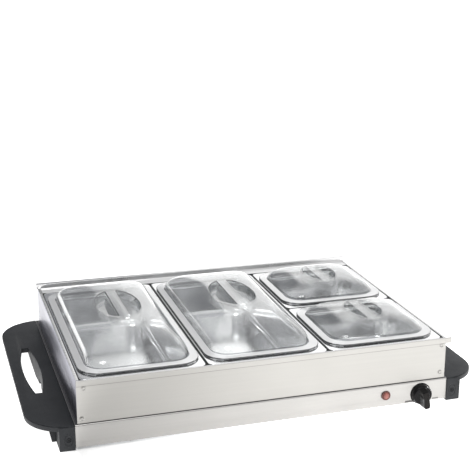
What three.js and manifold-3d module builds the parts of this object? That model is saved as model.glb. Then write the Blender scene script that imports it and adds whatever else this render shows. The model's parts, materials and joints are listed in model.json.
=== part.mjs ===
// A countertop chafing dish: an electric warming base with a moulded handle at each end, a lift-off
// steel frame that hangs four pans over the base's hot deck, and a clear domed lid for each pan.
// Millimetres, +Z up, +X along the length, +Y towards the back. The origin is on the table, under
// the middle of the overall box.
import * as THREE from "three";
import { mergeVertices } from "three/addons/utils/BufferGeometryUtils.js";
import Module from "manifold-3d";

const wasm = await Module();
wasm.setup();

// Fits
const seatGap = 0.3; // between a piece and what it rests on, lies against or passes through
const cutOverrun = 2; // how far a cut runs past the wall that it opens

// Counts
const cornerSteps = 5;
const domeSteps = 5;
const filletSteps = 3;
const holeSides = 16;
const screwSides = 10;
const nutSides = 6;
const roundSides = 32;
const gripArcSteps = 9;
const leadSides = 6;
const leadSteps = 24;
const elementSides = 6;
const elementSteps = 72;

// Warming base: a folded steel band whose top is the hot deck
const baseWidth = 517;
const baseDepth = 390;
const bandHeight = 31;
const bandClearance = 4; // lower edge of the band above the table
const baseSheet = 1;
const baseLip = 16; // turned-in lower edge of the band
const bandBend = 2; // outer bend where the band turns into the deck

// Bottom cover and its screws
const coverSheet = 0.8;
const coverInset = 3; // cover's edge behind the band's face
const coverScrewInsetX = 72; // screws in from the base's end
const ventLength = 46;
const ventWidth = 4;
const ventPitch = 14;
const ventsPerRow = 5;
const ventRowSpacing = 180;
const ventRowInsetY = 150; // rows in front of the base's back
const smallScrewHeadRadius = 3;
const smallScrewHeadHeight = 1.6;
const smallScrewRadius = 1.4;
const smallScrewLength = 7;

// Moulded end handles, one wall each side of a hollow rail, with a leg at each end
const handleReach = 57; // outer edge of the grip beyond the base's end
const handleCornerRadius = 56;
const handleWall = 3;
const gripSkirt = 7; // depth of the grip's outer edge
const gripTopEase = 1.2; // small bevel round the grip's top edge
const gripDrop = 0.5; // grip's top below the deck
const railClearance = 5; // lower edge of the rail's walls above the table
const slotLength = 165;
const slotWidth = 24;
const slotEndWidth = 9;
const slotCentreReach = 30; // middle of the finger slot beyond the base's end
const railNotchLength = 18;
const railNotchHeight = 7;
const railNotchOffset = 6; // notch behind the middle of the handle
const gussetThickness = 3;
const gussetTopReach = 12; // gusset outside the leg, under the grip
const gussetBottomReach = 5.5;

// Legs, their feet and the screws that hold the handles
const legWidth = 20; // also the width of the rail between the legs
const legLength = 34;
const legClearance = 1.2; // hard plastic above the table; the rubber foot takes the load
const legProud = 1; // leg's face in front of the band
const legFaceWall = 3.5;
const footRadius = 8;
const footThickness = 2.6;
const footStemRadius = 3;
const footStemLength = 5;
const legScrewInset = 8; // screw's axis outside the base's end
const legScrewHeight = 16; // screw's axis above the table
const legScrewHeadRadius = 2.8;
const legScrewHeadHeight = 1.6;
const legScrewRadius = 1.5;
const legScrewLength = 13;
const legScrewRecess = 2;

// Steel brackets that join band and legs
const bracketSheet = 1.2;
const bracketInside = 22; // length inside the band
const bracketOutside = 14; // length inside the leg
const bracketHeight = 15;

// Heating element, its straps and the shield under it
const elementRadius = 3.2;
const elementRunSpacing = 70;
const elementBendInset = 108.5; // centre of the bends in from the base's end
const elementTailInset = 53.5; // ends of the element in from the base's end
const elementRuns = 4;
const strapWidth = 16;
const strapSheet = 1.5;
const strapOverhang = 14; // strap past the outer runs
const strapInset = 20; // outer straps in from the centre of the bends
const shieldInset = 38.5; // shield's ends in from the base's ends
const shieldSheet = 0.8;

// Control thermostat, its shaft, nut and knob
const knobInset = 40.5; // knob's axis in from the base's end
const knobHeightAboveBand = 13.5; // knob's axis above the band's lower edge
const thermostatSize = 22;
const thermostatDepth = 20;
const thermostatPlate = 1.5;
const thermostatPlateMargin = 6;
const bushRadius = 4.6;
const bushReach = 4.2; // threaded bush in front of the band
const nutRadius = 6.6;
const nutThickness = 2.2;
const shaftRadius = 3;
const knobRadius = 15.2;
const knobSkirt = 3;
const knobHubRadius = 14.2;
const knobHubTopRadius = 12.4;
const knobHubHeight = 10;
const knobDepth = 21;
const knobStandOff = 1.2; // knob's back face in front of the band
const knobRecessRadius = 8.6;
const knobRecessDepth = 5.5;
const gripBarWidth = 11.4;
const gripBarTopWidth = 9;
const gripTail = 12.2; // grip bar behind the knob's axis
const pointerReach = 15; // pointer's end from the knob's axis
const pointerEndWidth = 8;
const pointerTaper = 3; // length over which the bar narrows to the pointer's end
const pointerTopEase = 0.6; // pointer's end is this much shorter at the front
const pointerRestTurn = 8; // degrees from straight down, towards the right
const shaftInKnob = 8;
const knobBoreFloor = 9; // plastic in front of the shaft's end
const knobSplineGap = 0.3;

// Indicator lamp
const lampSpacing = 51; // lamp to the left of the knob
const lampHeightAboveBand = 15.7;
const lampRadius = 5.4; // neck of the holder in the band
const lensRadius = 4.5;
const lampRimRadius = 6.5;
const lampRimThickness = 1.4;
const lampDomeHeight = 1.6;
const lampBodyLength = 16;

// Terminal block, thermal cut-out and inside leads
const blockLength = 30;
const blockDepth = 16;
const blockHeight = 12;
const blockSpacing = 40; // block's middle to the left of the cord outlet
const blockInsetY = 42; // block's middle in front of the base's back
const cutoutRadius = 8;
const cutoutHeight = 6;
const cutoutSpacing = 14; // cut-out's middle to the right of the knob
const cutoutLug = 12; // half length of the cut-out's fixing plate
const cutoutPlate = 1;
const leadRadius = 1.3;
const leadBend = 5; // how far before a corner a lead begins to turn
const leadLoop = 12; // straight run before a lead's first turn

// Cord outlet bush in the back of the band
const glandInset = 53.5; // outlet's axis in from the base's end
const glandHeightAboveBand = 15.5;
const glandFlangeRadius = 9;
const glandFlange = 3;
const glandNeckRadius = 6;
const glandCollar = 4; // inner collar behind the wall
const glandCollarRadius = 7.4;
const glandLipRadius = 5.8;
const glandLip = 1.6; // raised lip behind its flange
const glandBore = 3.7;

// Lift-off frame
const frameHeight = 59;
const frameEndInset = 3.5; // frame's ends in from the base's ends
const frameSetback = 1.5; // frame's face behind the band's face
const frameBackSetback = 20.5; // frame's back in front of the band's back
const frameSheet = 1;
const frameLip = 9;
const rimBand = 8;
const rimProud = 1.2;
const rimOverhang = 8; // front rim past the right-hand wall
const sideRim = 4;
const ledgeWidth = 7;
const ledgeDrop = 1.5; // ledge under the rim's top
const rearShelf = 22; // flat strip of the rear panel, behind the pans
const wallTab = 12;
const railRise = 6.6;
const railDepth = 7;
const railProud = 6; // rear rail behind the wall, clear of the pans as they lift out
const railOverhang = 1.6;
const dividerSeat = 5.5; // how much of a pan's flange lies on a divider
const dividerWeb = 12;

// Pans
const rimGap = 1.2; // pan's flange to the frame's rim
const panGap = 3;
const panSheet = 1;
const panDepth = 52;
const panFlangeSide = 12; // flange width beside the opening, at left and right
const panFlangeEnd = 17.5; // flange width at front and back
const panFlangeCorner = 8;
const panCorner = 24;
const panDraft = 4.5; // how much each wall leans in from the opening to the floor
const panFloorFillet = 8;
const panBottomCorner = 20;

// Lids
const lidSheet = 2.2;
const lidSideInset = 2.3; // lid's edge inside the pan's edge, at left and right
const lidEndInset = 6.5; // and at front and back
const lidFlangeThickness = 2.4;
const lidFlangeCorner = 30;
const lidSkirt = 4; // locating rib inside the pan's opening
const lidFit = 1.8; // lid's rib to the pan's wall, each side
const lidCorner = 24;
const lidCrownCorner = 12;
const lidCrownHalfX = 17;
const largeLidCrownHalfY = 45;
const smallLidCrownHalfY = 20;
const largeLidRise = 32;
const smallLidRise = 20;
const gripBridge = 16; // bar across the finger recess
const largeGripHalfX = 31;
const largeGripHalfY = 54;
const smallGripHalfX = 24;
const smallGripHalfY = 37;
const largeGripDepth = 12;
const smallGripDepth = 10;

// Finishes
const brushedSteel = new THREE.MeshStandardMaterial({ color: 0xc9c8c2, roughness: 0.34, metalness: 1 });
const deckSteel = new THREE.MeshStandardMaterial({ color: 0xb9b8b2, roughness: 0.42, metalness: 1 });
const panSteel = new THREE.MeshStandardMaterial({ color: 0xd6d7d8, roughness: 0.16, metalness: 1 });
const zincSteel = new THREE.MeshStandardMaterial({ color: 0x9aa0a4, roughness: 0.5, metalness: 0.9 });
const aluminium = new THREE.MeshStandardMaterial({ color: 0xb4b6b8, roughness: 0.45, metalness: 0.9 });
const handlePlastic = new THREE.MeshStandardMaterial({ color: 0x34383c, roughness: 0.55, metalness: 0 });
const knobPlastic = new THREE.MeshStandardMaterial({ color: 0x161617, roughness: 0.35, metalness: 0 });
const footRubber = new THREE.MeshStandardMaterial({ color: 0x1d1d1e, roughness: 0.85, metalness: 0 });
const redLens = new THREE.MeshStandardMaterial({ color: 0xd8492c, roughness: 0.2, metalness: 0 });
const ceramic = new THREE.MeshStandardMaterial({ color: 0xe6e0d2, roughness: 0.6, metalness: 0 });
const leadSleeve = new THREE.MeshStandardMaterial({ color: 0xd9d6cd, roughness: 0.7, metalness: 0 });
const clearPlastic = new THREE.MeshStandardMaterial({
  color: 0xf2f6f8,
  roughness: 0.05,
  metalness: 0,
  transparent: true,
  opacity: 0.3,
});

// Places worked out from the sizes above
const frontReach = knobStandOff + knobDepth;
const rearReach = seatGap + glandFlange + glandLip;
const centreShift = (frontReach - rearReach) / 2;
const baseFrontY = -baseDepth / 2 + centreShift;
const baseBackY = baseDepth / 2 + centreShift;
const baseMiddleY = (baseFrontY + baseBackY) / 2;
const bandBottomZ = bandClearance;
const deckZ = bandClearance + bandHeight;
const deckUnderZ = deckZ - baseSheet;
const baseEndX = baseWidth / 2;
const shellEndX = baseEndX - seatGap;
const coverTopZ = bandBottomZ - seatGap;
const coverBottomZ = coverTopZ - coverSheet;
const elementBendX = baseEndX - elementBendInset;
const elementTailX = baseEndX - elementTailInset;
const elementMiddleY = baseMiddleY + elementRunSpacing / 5;
const elementHalfY = (elementRunSpacing * (elementRuns - 1)) / 2;
const elementZ = deckUnderZ - seatGap - elementRadius;
const strapTopZ = elementZ - elementRadius - seatGap;
const strapBottomZ = strapTopZ - strapSheet;
const strapHalfY = elementHalfY + strapOverhang;
const strapSpacing = elementBendX - strapInset;
const shieldTopZ = strapBottomZ - seatGap;
const shieldEndX = baseEndX - shieldInset;
const knobX = baseEndX - knobInset;
const knobZ = bandBottomZ + knobHeightAboveBand;
const lampX = knobX - lampSpacing;
const lampZ = bandBottomZ + lampHeightAboveBand;
const cutoutX = knobX + cutoutSpacing;
const glandX = baseEndX - glandInset;
const glandZ = bandBottomZ + glandHeightAboveBand;
const blockX = glandX - blockSpacing;
const gripTopZ = deckZ - gripDrop;
const handleFrontY = baseFrontY - legProud;
const handleBackY = baseBackY + legProud;
const handleMiddleY = (handleFrontY + handleBackY) / 2;
const frameFrontY = baseFrontY + frameSetback;
const frameBackY = baseBackY - frameBackSetback;
const frameEndX = baseEndX - frameEndInset;
const frameBottomZ = deckZ + seatGap;
const rimZ = deckZ + frameHeight;
const ledgeZ = rimZ - ledgeDrop;
const ledgeUnderZ = ledgeZ - frameSheet;
const wallFrontY = frameFrontY + frameSheet + seatGap;
const wallBackY = frameBackY - frameSheet - seatGap;
const panWidth = (2 * (frameEndX - sideRim - rimGap) - 2 * panGap) / 3;
const panFrontY = frameFrontY + frameSheet + rimGap;
const shelfFrontY = frameBackY - frameSheet - rearShelf;
const frontLedgeY = frameFrontY + frameSheet + ledgeWidth;
const rearLedgeY = shelfFrontY - ledgeWidth;
const panBackY = shelfFrontY - rimGap;
const largePanLength = panBackY - panFrontY;
const smallPanLength = (largePanLength - panGap) / 2;
const panPitch = panWidth + panGap;
const panUnderZ = ledgeZ + seatGap;
const panTopZ = panUnderZ + panSheet;
const lidUnderZ = panTopZ + seatGap;

// Solids

function solidOf(geometry) {
  const plain = geometry.index ? geometry.toNonIndexed() : geometry.clone();
  plain.deleteAttribute("normal");
  plain.deleteAttribute("uv");
  const merged = mergeVertices(plain);
  return new wasm.Manifold(
    new wasm.Mesh({
      numProp: 3,
      vertProperties: merged.attributes.position.array,
      triVerts: new Uint32Array(merged.index.array),
    }),
  );
}

function geometryOf(solid) {
  const mesh = solid.getMesh();
  const geometry = new THREE.BufferGeometry();
  geometry.setAttribute("position", new THREE.BufferAttribute(new Float32Array(mesh.vertProperties), 3));
  geometry.setIndex(new THREE.BufferAttribute(new Uint32Array(mesh.triVerts), 1));
  geometry.computeVertexNormals();
  return geometry;
}

function block(x0, x1, y0, y1, z0, z1) {
  const geometry = new THREE.BoxGeometry(x1 - x0, y1 - y0, z1 - z0);
  geometry.translate((x0 + x1) / 2, (y0 + y1) / 2, (z0 + z1) / 2);
  return solidOf(geometry);
}

// A closed outline from points, as a shape.
function outline(points) {
  return new THREE.Shape(points.map(([a, b]) => new THREE.Vector2(a, b)));
}

function extrude(shape, depth) {
  return new THREE.ExtrudeGeometry(shape, { depth, bevelEnabled: false, curveSegments: gripArcSteps });
}

// A section drawn in (Y, Z), from one X to another.
function alongX(shape, x0, x1) {
  const axes = new THREE.Matrix4().makeBasis(
    new THREE.Vector3(0, 1, 0),
    new THREE.Vector3(0, 0, 1),
    new THREE.Vector3(1, 0, 0),
  );
  return solidOf(extrude(shape, x1 - x0).applyMatrix4(axes).translate(x0, 0, 0));
}

// A section drawn in (X, Z), from one Y to another.
function alongY(shape, y0, y1) {
  const axes = new THREE.Matrix4().makeBasis(
    new THREE.Vector3(1, 0, 0),
    new THREE.Vector3(0, 0, 1),
    new THREE.Vector3(0, -1, 0),
  );
  return solidOf(extrude(shape, y1 - y0).applyMatrix4(axes).translate(0, y1, 0));
}

// A plan drawn in (X, Y), from one Z to another.
function alongZ(shape, z0, z1) {
  return solidOf(extrude(shape, z1 - z0).translate(0, 0, z0));
}

// A round bar along Y.
function rodY(x, z, radius, y0, y1, sides) {
  const geometry = new THREE.CylinderGeometry(radius, radius, y1 - y0, sides);
  return solidOf(geometry.translate(x, (y0 + y1) / 2, z));
}

// A round bar along Z.
function rodZ(x, y, radius, z0, z1, sides) {
  const geometry = new THREE.CylinderGeometry(radius, radius, z1 - z0, sides);
  return solidOf(geometry.rotateX(Math.PI / 2).translate(x, y, (z0 + z1) / 2));
}

// A clearance hole for a round screw through a level wall.
function holeZ(x, y, radius, z0, z1) {
  return rodZ(x, y, radius + seatGap, z0 - cutOverrun, z1 + cutOverrun, screwSides);
}

// A turned piece on an axis along Y: profile points are (radius, distance in front of the start).
function turnedTowardsFront(profile, x, y, z, sides) {
  const points = profile.map(([radius, reach]) => new THREE.Vector2(radius, reach));
  const geometry = new THREE.LatheGeometry(points, sides);
  return solidOf(geometry.rotateX(Math.PI).translate(x, y, z));
}

// A turned piece on an axis along Z, from its profile of (radius, height).
function turnedUp(profile, x, y, sides) {
  const points = profile.map(([radius, height]) => new THREE.Vector2(radius, height));
  const geometry = new THREE.LatheGeometry(points, sides);
  return solidOf(geometry.rotateX(Math.PI / 2).translate(x, y, 0));
}

// A level ring: a rounded rectangle about (x, y), counter-clockwise from above.
function ring(x, y, z, halfX, halfY, radius) {
  const round = Math.min(radius, halfX, halfY);
  const points = [];
  for (let corner = 0; corner < 4; corner += 1) {
    const right = corner === 0 || corner === 3 ? 1 : -1;
    const back = corner < 2 ? 1 : -1;
    for (let step = 0; step <= cornerSteps; step += 1) {
      const angle = (Math.PI / 2) * (corner + step / cornerSteps);
      points.push(
        new THREE.Vector3(
          x + right * (halfX - round) + round * Math.cos(angle),
          y + back * (halfY - round) + round * Math.sin(angle),
          z,
        ),
      );
    }
  }
  return points;
}

// A closed solid through rings of equal count: the first ring is capped below, the last above.
function loft(rings) {
  const count = rings[0].length;
  const index = [];
  for (let level = 0; level + 1 < rings.length; level += 1) {
    const low = level * count;
    const high = low + count;
    for (let i = 0; i < count; i += 1) {
      const next = (i + 1) % count;
      index.push(low + i, low + next, high + next, low + i, high + next, high + i);
    }
  }
  const last = (rings.length - 1) * count;
  for (let i = 1; i + 1 < count; i += 1) {
    index.push(0, i + 1, i);
    index.push(last, last + i, last + i + 1);
  }
  const geometry = new THREE.BufferGeometry().setFromPoints(rings.flat());
  geometry.setIndex(index);
  return solidOf(geometry);
}

// A round lead or tube of one radius along a curve.
function tube(curve, radius, sides, steps) {
  const section = new THREE.Shape();
  for (let i = 0; i < sides; i += 1) {
    const angle = (2 * Math.PI * i) / sides;
    const point = [radius * Math.cos(angle), radius * Math.sin(angle)];
    if (i === 0) section.moveTo(...point);
    else section.lineTo(...point);
  }
  return solidOf(new THREE.ExtrudeGeometry(section, { steps, extrudePath: curve, bevelEnabled: false }));
}

function piece(name, solid, material) {
  const mesh = new THREE.Mesh(geometryOf(solid), material);
  mesh.name = name;
  return mesh;
}

// Warming base

function baseShell() {
  const lipFront = baseFrontY + baseLip;
  const lipBack = baseBackY - baseLip;
  const section = new THREE.Shape();
  section.moveTo(lipFront, bandBottomZ);
  section.lineTo(lipFront, bandBottomZ + baseSheet);
  section.lineTo(baseFrontY + baseSheet, bandBottomZ + baseSheet);
  section.lineTo(baseFrontY + baseSheet, deckUnderZ);
  section.lineTo(baseBackY - baseSheet, deckUnderZ);
  section.lineTo(baseBackY - baseSheet, bandBottomZ + baseSheet);
  section.lineTo(lipBack, bandBottomZ + baseSheet);
  section.lineTo(lipBack, bandBottomZ);
  section.lineTo(baseBackY, bandBottomZ);
  section.lineTo(baseBackY, deckZ - bandBend);
  section.lineTo(baseBackY - bandBend / 3, deckZ - bandBend / 3);
  section.lineTo(baseBackY - bandBend, deckZ);
  section.lineTo(baseFrontY + bandBend, deckZ);
  section.lineTo(baseFrontY + bandBend / 3, deckZ - bandBend / 3);
  section.lineTo(baseFrontY, deckZ - bandBend);
  section.lineTo(baseFrontY, bandBottomZ);
  let shell = alongX(section, -shellEndX, shellEndX);
  const front = [baseFrontY - cutOverrun, baseFrontY + baseSheet + cutOverrun];
  const back = [baseBackY - baseSheet - cutOverrun, baseBackY + cutOverrun];
  shell = shell.subtract(rodY(knobX, knobZ, bushRadius + seatGap, ...front, holeSides));
  shell = shell.subtract(rodY(lampX, lampZ, lampRadius + seatGap, ...front, holeSides));
  shell = shell.subtract(rodY(glandX, glandZ, glandNeckRadius + seatGap, ...back, holeSides));
  for (const [x, y] of coverScrewPlaces()) {
    shell = shell.subtract(holeZ(x, y, smallScrewRadius, bandBottomZ, bandBottomZ + baseSheet));
  }
  return piece("base_shell", shell, deckSteel);
}

function coverScrewPlaces() {
  const x = baseEndX - coverScrewInsetX;
  const front = baseFrontY + baseLip / 2;
  const back = baseBackY - baseLip / 2;
  return [
    [-x, front],
    [x, front],
    [-x, back],
    [x, back],
  ];
}

function bottomCover() {
  const front = baseFrontY + coverInset;
  const back = baseBackY - coverInset;
  let cover = block(-shellEndX, shellEndX, front, back, coverBottomZ, coverTopZ);
  for (const [x, y] of coverScrewPlaces()) {
    cover = cover.subtract(holeZ(x, y, smallScrewRadius, coverBottomZ, coverTopZ));
  }
  for (const side of [-1, 1]) {
    for (let i = 0; i < ventsPerRow; i += 1) {
      const x = (side * ventRowSpacing) / 2;
      const y = baseBackY - ventRowInsetY + i * ventPitch;
      const vent = block(
        x - ventLength / 2,
        x + ventLength / 2,
        y - ventWidth / 2,
        y + ventWidth / 2,
        coverBottomZ - cutOverrun,
        coverTopZ + cutOverrun,
      );
      cover = cover.subtract(vent);
    }
  }
  return piece("bottom_cover", cover, zincSteel);
}

function coverScrew(name, x, y) {
  const headTop = coverBottomZ - seatGap;
  const headBottom = headTop - smallScrewHeadHeight;
  const head = rodZ(x, y, smallScrewHeadRadius, headBottom, headTop, screwSides);
  const headMiddle = headTop - smallScrewHeadHeight / 2;
  const shank = rodZ(x, y, smallScrewRadius, headMiddle, headTop + smallScrewLength, screwSides);
  return piece(name, head.add(shank), zincSteel);
}

// Handles. Both are drawn on the right and mirrored for the left.

function mirrored(solid, side) {
  if (side > 0) return solid;
  return solid.mirror([1, 0, 0]);
}

function slotPlan(growth) {
  const x = baseEndX + slotCentreReach;
  const halfLength = slotLength / 2 + growth;
  const half = slotWidth / 2 + growth;
  const halfEnd = slotEndWidth / 2 + growth;
  const bow = half - halfEnd;
  const radius = (halfLength * halfLength + bow * bow) / (2 * bow);
  const sweep = Math.asin(halfLength / radius);
  const plan = new THREE.Shape();
  plan.absarc(x + half - radius, handleMiddleY, radius, -sweep, sweep, false);
  plan.absarc(x - half + radius, handleMiddleY, radius, Math.PI - sweep, Math.PI + sweep, false);
  return plan;
}

function gripPlan(inset) {
  const inner = baseEndX;
  const outer = baseEndX + handleReach - inset;
  const front = handleFrontY + inset;
  const back = handleBackY - inset;
  const radius = handleCornerRadius - inset;
  const plan = new THREE.Shape();
  plan.moveTo(inner, front);
  plan.lineTo(outer - radius, front);
  plan.absarc(outer - radius, front + radius, radius, -Math.PI / 2, 0, false);
  plan.absarc(outer - radius, back - radius, radius, 0, Math.PI / 2, false);
  plan.lineTo(inner, back);
  return plan;
}

function legRange(end) {
  return end === "front"
    ? [handleFrontY, handleFrontY + legLength]
    : [handleBackY - legLength, handleBackY];
}

function handle(side) {
  const railOuterX = baseEndX + legWidth;
  const railFrontY = handleFrontY + legLength;
  const railBackY = handleBackY - legLength;
  const roofZ = gripTopZ - handleWall;
  let body = alongZ(gripPlan(0), gripTopZ - gripSkirt, gripTopZ - gripTopEase);
  body = body.add(alongZ(gripPlan(gripTopEase), gripTopZ - gripTopEase - seatGap, gripTopZ));
  const skirtZ = gripTopZ - gripSkirt;
  const keepZ = skirtZ - 2 * cutOverrun;
  let hollow = alongZ(gripPlan(handleWall), skirtZ - cutOverrun, roofZ);
  const keep = block(baseEndX - cutOverrun, railOuterX, handleFrontY, handleBackY, keepZ, gripTopZ);
  hollow = hollow.subtract(keep);
  hollow = hollow.subtract(alongZ(slotPlan(handleWall), keepZ, gripTopZ));
  body = body.subtract(hollow);
  let rail = block(baseEndX, railOuterX, railFrontY, railBackY, railClearance, roofZ + handleWall / 2);
  const railHollow = block(
    baseEndX + handleWall,
    railOuterX - handleWall,
    railFrontY + handleWall,
    railBackY - handleWall,
    railClearance - cutOverrun,
    roofZ,
  ).subtract(alongZ(slotPlan(handleWall), railClearance - 2 * cutOverrun, gripTopZ));
  const notchY = handleMiddleY + railNotchOffset;
  const notch = block(
    baseEndX + 2 * handleWall,
    railOuterX + cutOverrun,
    notchY - railNotchLength / 2,
    notchY + railNotchLength / 2,
    railClearance - cutOverrun,
    railClearance + railNotchHeight,
  );
  for (const end of ["front", "back"]) {
    const [y0, y1] = legRange(end);
    rail = rail.add(block(baseEndX, baseEndX + legWidth, y0, y1, legClearance, roofZ + handleWall / 2));
  }
  const gussetTop = roofZ + handleWall / 2;
  const gusset = outline([
    [railOuterX - handleWall, legClearance],
    [railOuterX + gussetBottomReach, legClearance],
    [railOuterX + gussetTopReach, gussetTop],
    [railOuterX - handleWall, gussetTop],
  ]);
  for (const y of [railFrontY - gussetThickness, railBackY]) {
    rail = rail.add(alongY(gusset, y, y + gussetThickness));
  }
  body = body.add(rail).subtract(railHollow).subtract(notch);
  body = body.subtract(alongZ(slotPlan(0), railClearance - 2 * cutOverrun, gripTopZ + cutOverrun));
  for (const end of ["front", "back"]) body = body.subtract(legCuts(end));
  const name = side > 0 ? "right_handle" : "left_handle";
  return piece(name, mirrored(body, side), handlePlastic);
}

// The foot's seat, the screw's recess and hole, and the pocket that the bracket enters.
function legCuts(end) {
  const [y0, y1] = legRange(end);
  const towardsMiddle = end === "front" ? 1 : -1;
  const faceY = end === "front" ? y0 : y1;
  const span = (a, b) => [a, b].map((reach) => faceY + towardsMiddle * reach).sort((c, d) => c - d);
  const footX = baseEndX + legWidth / 2;
  const footY = (y0 + y1) / 2;
  const seatTop = footThickness + seatGap;
  let cuts = rodZ(footX, footY, footRadius + seatGap, legClearance - cutOverrun, seatTop, roundSides / 2);
  const stemTop = seatTop + footStemLength + seatGap;
  cuts = cuts.add(rodZ(footX, footY, footStemRadius + seatGap, seatTop - seatGap, stemTop, holeSides));
  const screwX = baseEndX + legScrewInset;
  const headHole = legScrewHeadRadius + seatGap;
  const shankHole = legScrewRadius + seatGap;
  const holeEnd = legScrewRecess + legScrewLength + seatGap;
  cuts = cuts.add(rodY(screwX, legScrewHeight, headHole, ...span(-cutOverrun, legScrewRecess), holeSides));
  cuts = cuts.add(rodY(screwX, legScrewHeight, shankHole, ...span(0, holeEnd), screwSides));
  const pocket = block(
    baseEndX - cutOverrun,
    baseEndX + bracketOutside + seatGap,
    ...span(legFaceWall, legFaceWall + bracketSheet + 2 * seatGap),
    legScrewHeight - bracketHeight / 2 - seatGap,
    legScrewHeight + bracketHeight / 2 + seatGap,
  );
  return cuts.add(pocket);
}

function foot(name, side, end) {
  const [y0, y1] = legRange(end);
  const x = baseEndX + legWidth / 2;
  const profile = [
    [0, 0],
    [footRadius, 0],
    [footRadius, footThickness],
    [footStemRadius, footThickness],
    [footStemRadius, footThickness + footStemLength],
    [0, footThickness + footStemLength],
  ];
  return piece(name, mirrored(turnedUp(profile, x, (y0 + y1) / 2, roundSides / 2), side), footRubber);
}

function legScrew(name, side, end) {
  const faceY = end === "front" ? handleFrontY : handleBackY;
  const towardsMiddle = end === "front" ? 1 : -1;
  const at = (reach) => faceY + towardsMiddle * reach;
  const x = baseEndX + legScrewInset;
  const headEnd = legScrewRecess - seatGap;
  const headStart = headEnd - legScrewHeadHeight;
  const rod = (radius, a, b) => {
    const [y0, y1] = [at(a), at(b)].sort((c, d) => c - d);
    return rodY(x, legScrewHeight, radius, y0, y1, screwSides);
  };
  const head = rod(legScrewHeadRadius, headStart, headEnd);
  const shank = rod(legScrewRadius, headStart + legScrewHeadHeight / 2, headEnd + legScrewLength);
  return piece(name, mirrored(head.add(shank), side), zincSteel);
}

// A joggled strip: flat against the band inside the base, then set back behind the leg's face.
function legBracket(name, side, end) {
  const towardsMiddle = end === "front" ? 1 : -1;
  const bandFace = end === "front" ? baseFrontY : baseBackY;
  const legFace = end === "front" ? handleFrontY : handleBackY;
  const near = bandFace + towardsMiddle * (baseSheet + seatGap);
  const far = legFace + towardsMiddle * (legFaceWall + seatGap);
  const step = towardsMiddle * bracketSheet;
  const innerX = baseEndX - bracketInside;
  const bendX = baseEndX - legWidth / 4;
  const bendEndX = bendX + Math.abs(far - near);
  const tipX = baseEndX + bracketOutside;
  const points = [
    [innerX, near],
    [bendX, near],
    [bendEndX, far],
    [tipX, far],
    [tipX, far + step],
    [bendEndX - bracketSheet / 2, far + step],
    [bendX - bracketSheet / 2, near + step],
    [innerX, near + step],
  ];
  if (towardsMiddle < 0) points.reverse();
  const z0 = legScrewHeight - bracketHeight / 2;
  let strip = alongZ(outline(points), z0, z0 + bracketHeight);
  const holeEnds = [far - cutOverrun * towardsMiddle, far + step + cutOverrun * towardsMiddle];
  const hole = rodY(
    baseEndX + legScrewInset,
    legScrewHeight,
    legScrewRadius + seatGap,
    Math.min(...holeEnds),
    Math.max(...holeEnds),
    screwSides,
  );
  strip = strip.subtract(hole);
  return piece(name, mirrored(strip, side), zincSteel);
}

// Heating

function elementRunY(run) {
  return elementMiddleY - elementHalfY + run * elementRunSpacing;
}

function heatingElement() {
  const path = new THREE.CurvePath();
  const radius = elementRunSpacing / 2;
  const bendPoint = (run, angle, towards) =>
    new THREE.Vector3(
      towards * (elementBendX + radius * Math.sin(angle)),
      elementRunY(run) + radius - radius * Math.cos(angle),
      elementZ,
    );
  const points = [new THREE.Vector3(elementTailX, elementRunY(0), elementZ)];
  for (let run = 0; run + 1 < elementRuns; run += 1) {
    const towards = run % 2 === 0 ? -1 : 1;
    for (let step = 0; step <= cornerSteps; step += 1) {
      points.push(bendPoint(run, (Math.PI * step) / cornerSteps, towards));
    }
  }
  points.push(new THREE.Vector3(elementTailX, elementRunY(elementRuns - 1), elementZ));
  for (let i = 0; i + 1 < points.length; i += 1) path.add(new THREE.LineCurve3(points[i], points[i + 1]));
  return piece("heating_element", tube(path, elementRadius, elementSides, elementSteps), aluminium);
}

function elementStrap(name, x) {
  const front = elementMiddleY - strapHalfY;
  const back = elementMiddleY + strapHalfY;
  const footTop = deckUnderZ - seatGap;
  const section = outline([
    [front, strapBottomZ],
    [back, strapBottomZ],
    [back, footTop],
    [back - strapSheet, footTop],
    [back - strapSheet, strapTopZ],
    [front + strapSheet, strapTopZ],
    [front + strapSheet, footTop],
    [front, footTop],
  ]);
  return piece(name, alongX(section, x - strapWidth / 2, x + strapWidth / 2), aluminium);
}

function heatShield() {
  const shield = block(
    -shieldEndX,
    shieldEndX,
    elementMiddleY - strapHalfY,
    elementMiddleY + strapHalfY,
    shieldTopZ - shieldSheet,
    shieldTopZ,
  );
  return piece("heat_shield", shield, aluminium);
}

// Control

function thermostat() {
  const plateFront = baseFrontY + baseSheet + seatGap;
  const bodyFront = plateFront + thermostatPlate;
  const half = thermostatSize / 2;
  const plateHalf = half + thermostatPlateMargin;
  const bodyBack = bodyFront + thermostatDepth;
  let body = block(knobX - half, knobX + half, bodyFront, bodyBack, knobZ - half, knobZ + half);
  const plateTop = Math.min(knobZ + half, deckUnderZ - seatGap);
  body = body.add(
    block(knobX - plateHalf, knobX + plateHalf, plateFront, bodyFront + seatGap, knobZ - half, plateTop),
  );
  const bushFront = baseFrontY - bushReach;
  body = body.add(rodY(knobX, knobZ, bushRadius, bushFront, bodyFront + seatGap, holeSides));
  const boreEnd = bodyFront + thermostatDepth / 2;
  const boreRadius = shaftRadius + 2 * seatGap;
  body = body.subtract(rodY(knobX, knobZ, boreRadius, bushFront - cutOverrun, boreEnd, holeSides));
  return piece("thermostat", body, ceramic);
}

function thermostatNut() {
  const back = baseFrontY - seatGap;
  const front = back - nutThickness;
  const hole = rodY(knobX, knobZ, bushRadius + seatGap, front - cutOverrun, back + cutOverrun, holeSides);
  const nut = rodY(knobX, knobZ, nutRadius, front, back, nutSides).subtract(hole);
  return piece("thermostat_nut", nut, zincSteel);
}

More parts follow.
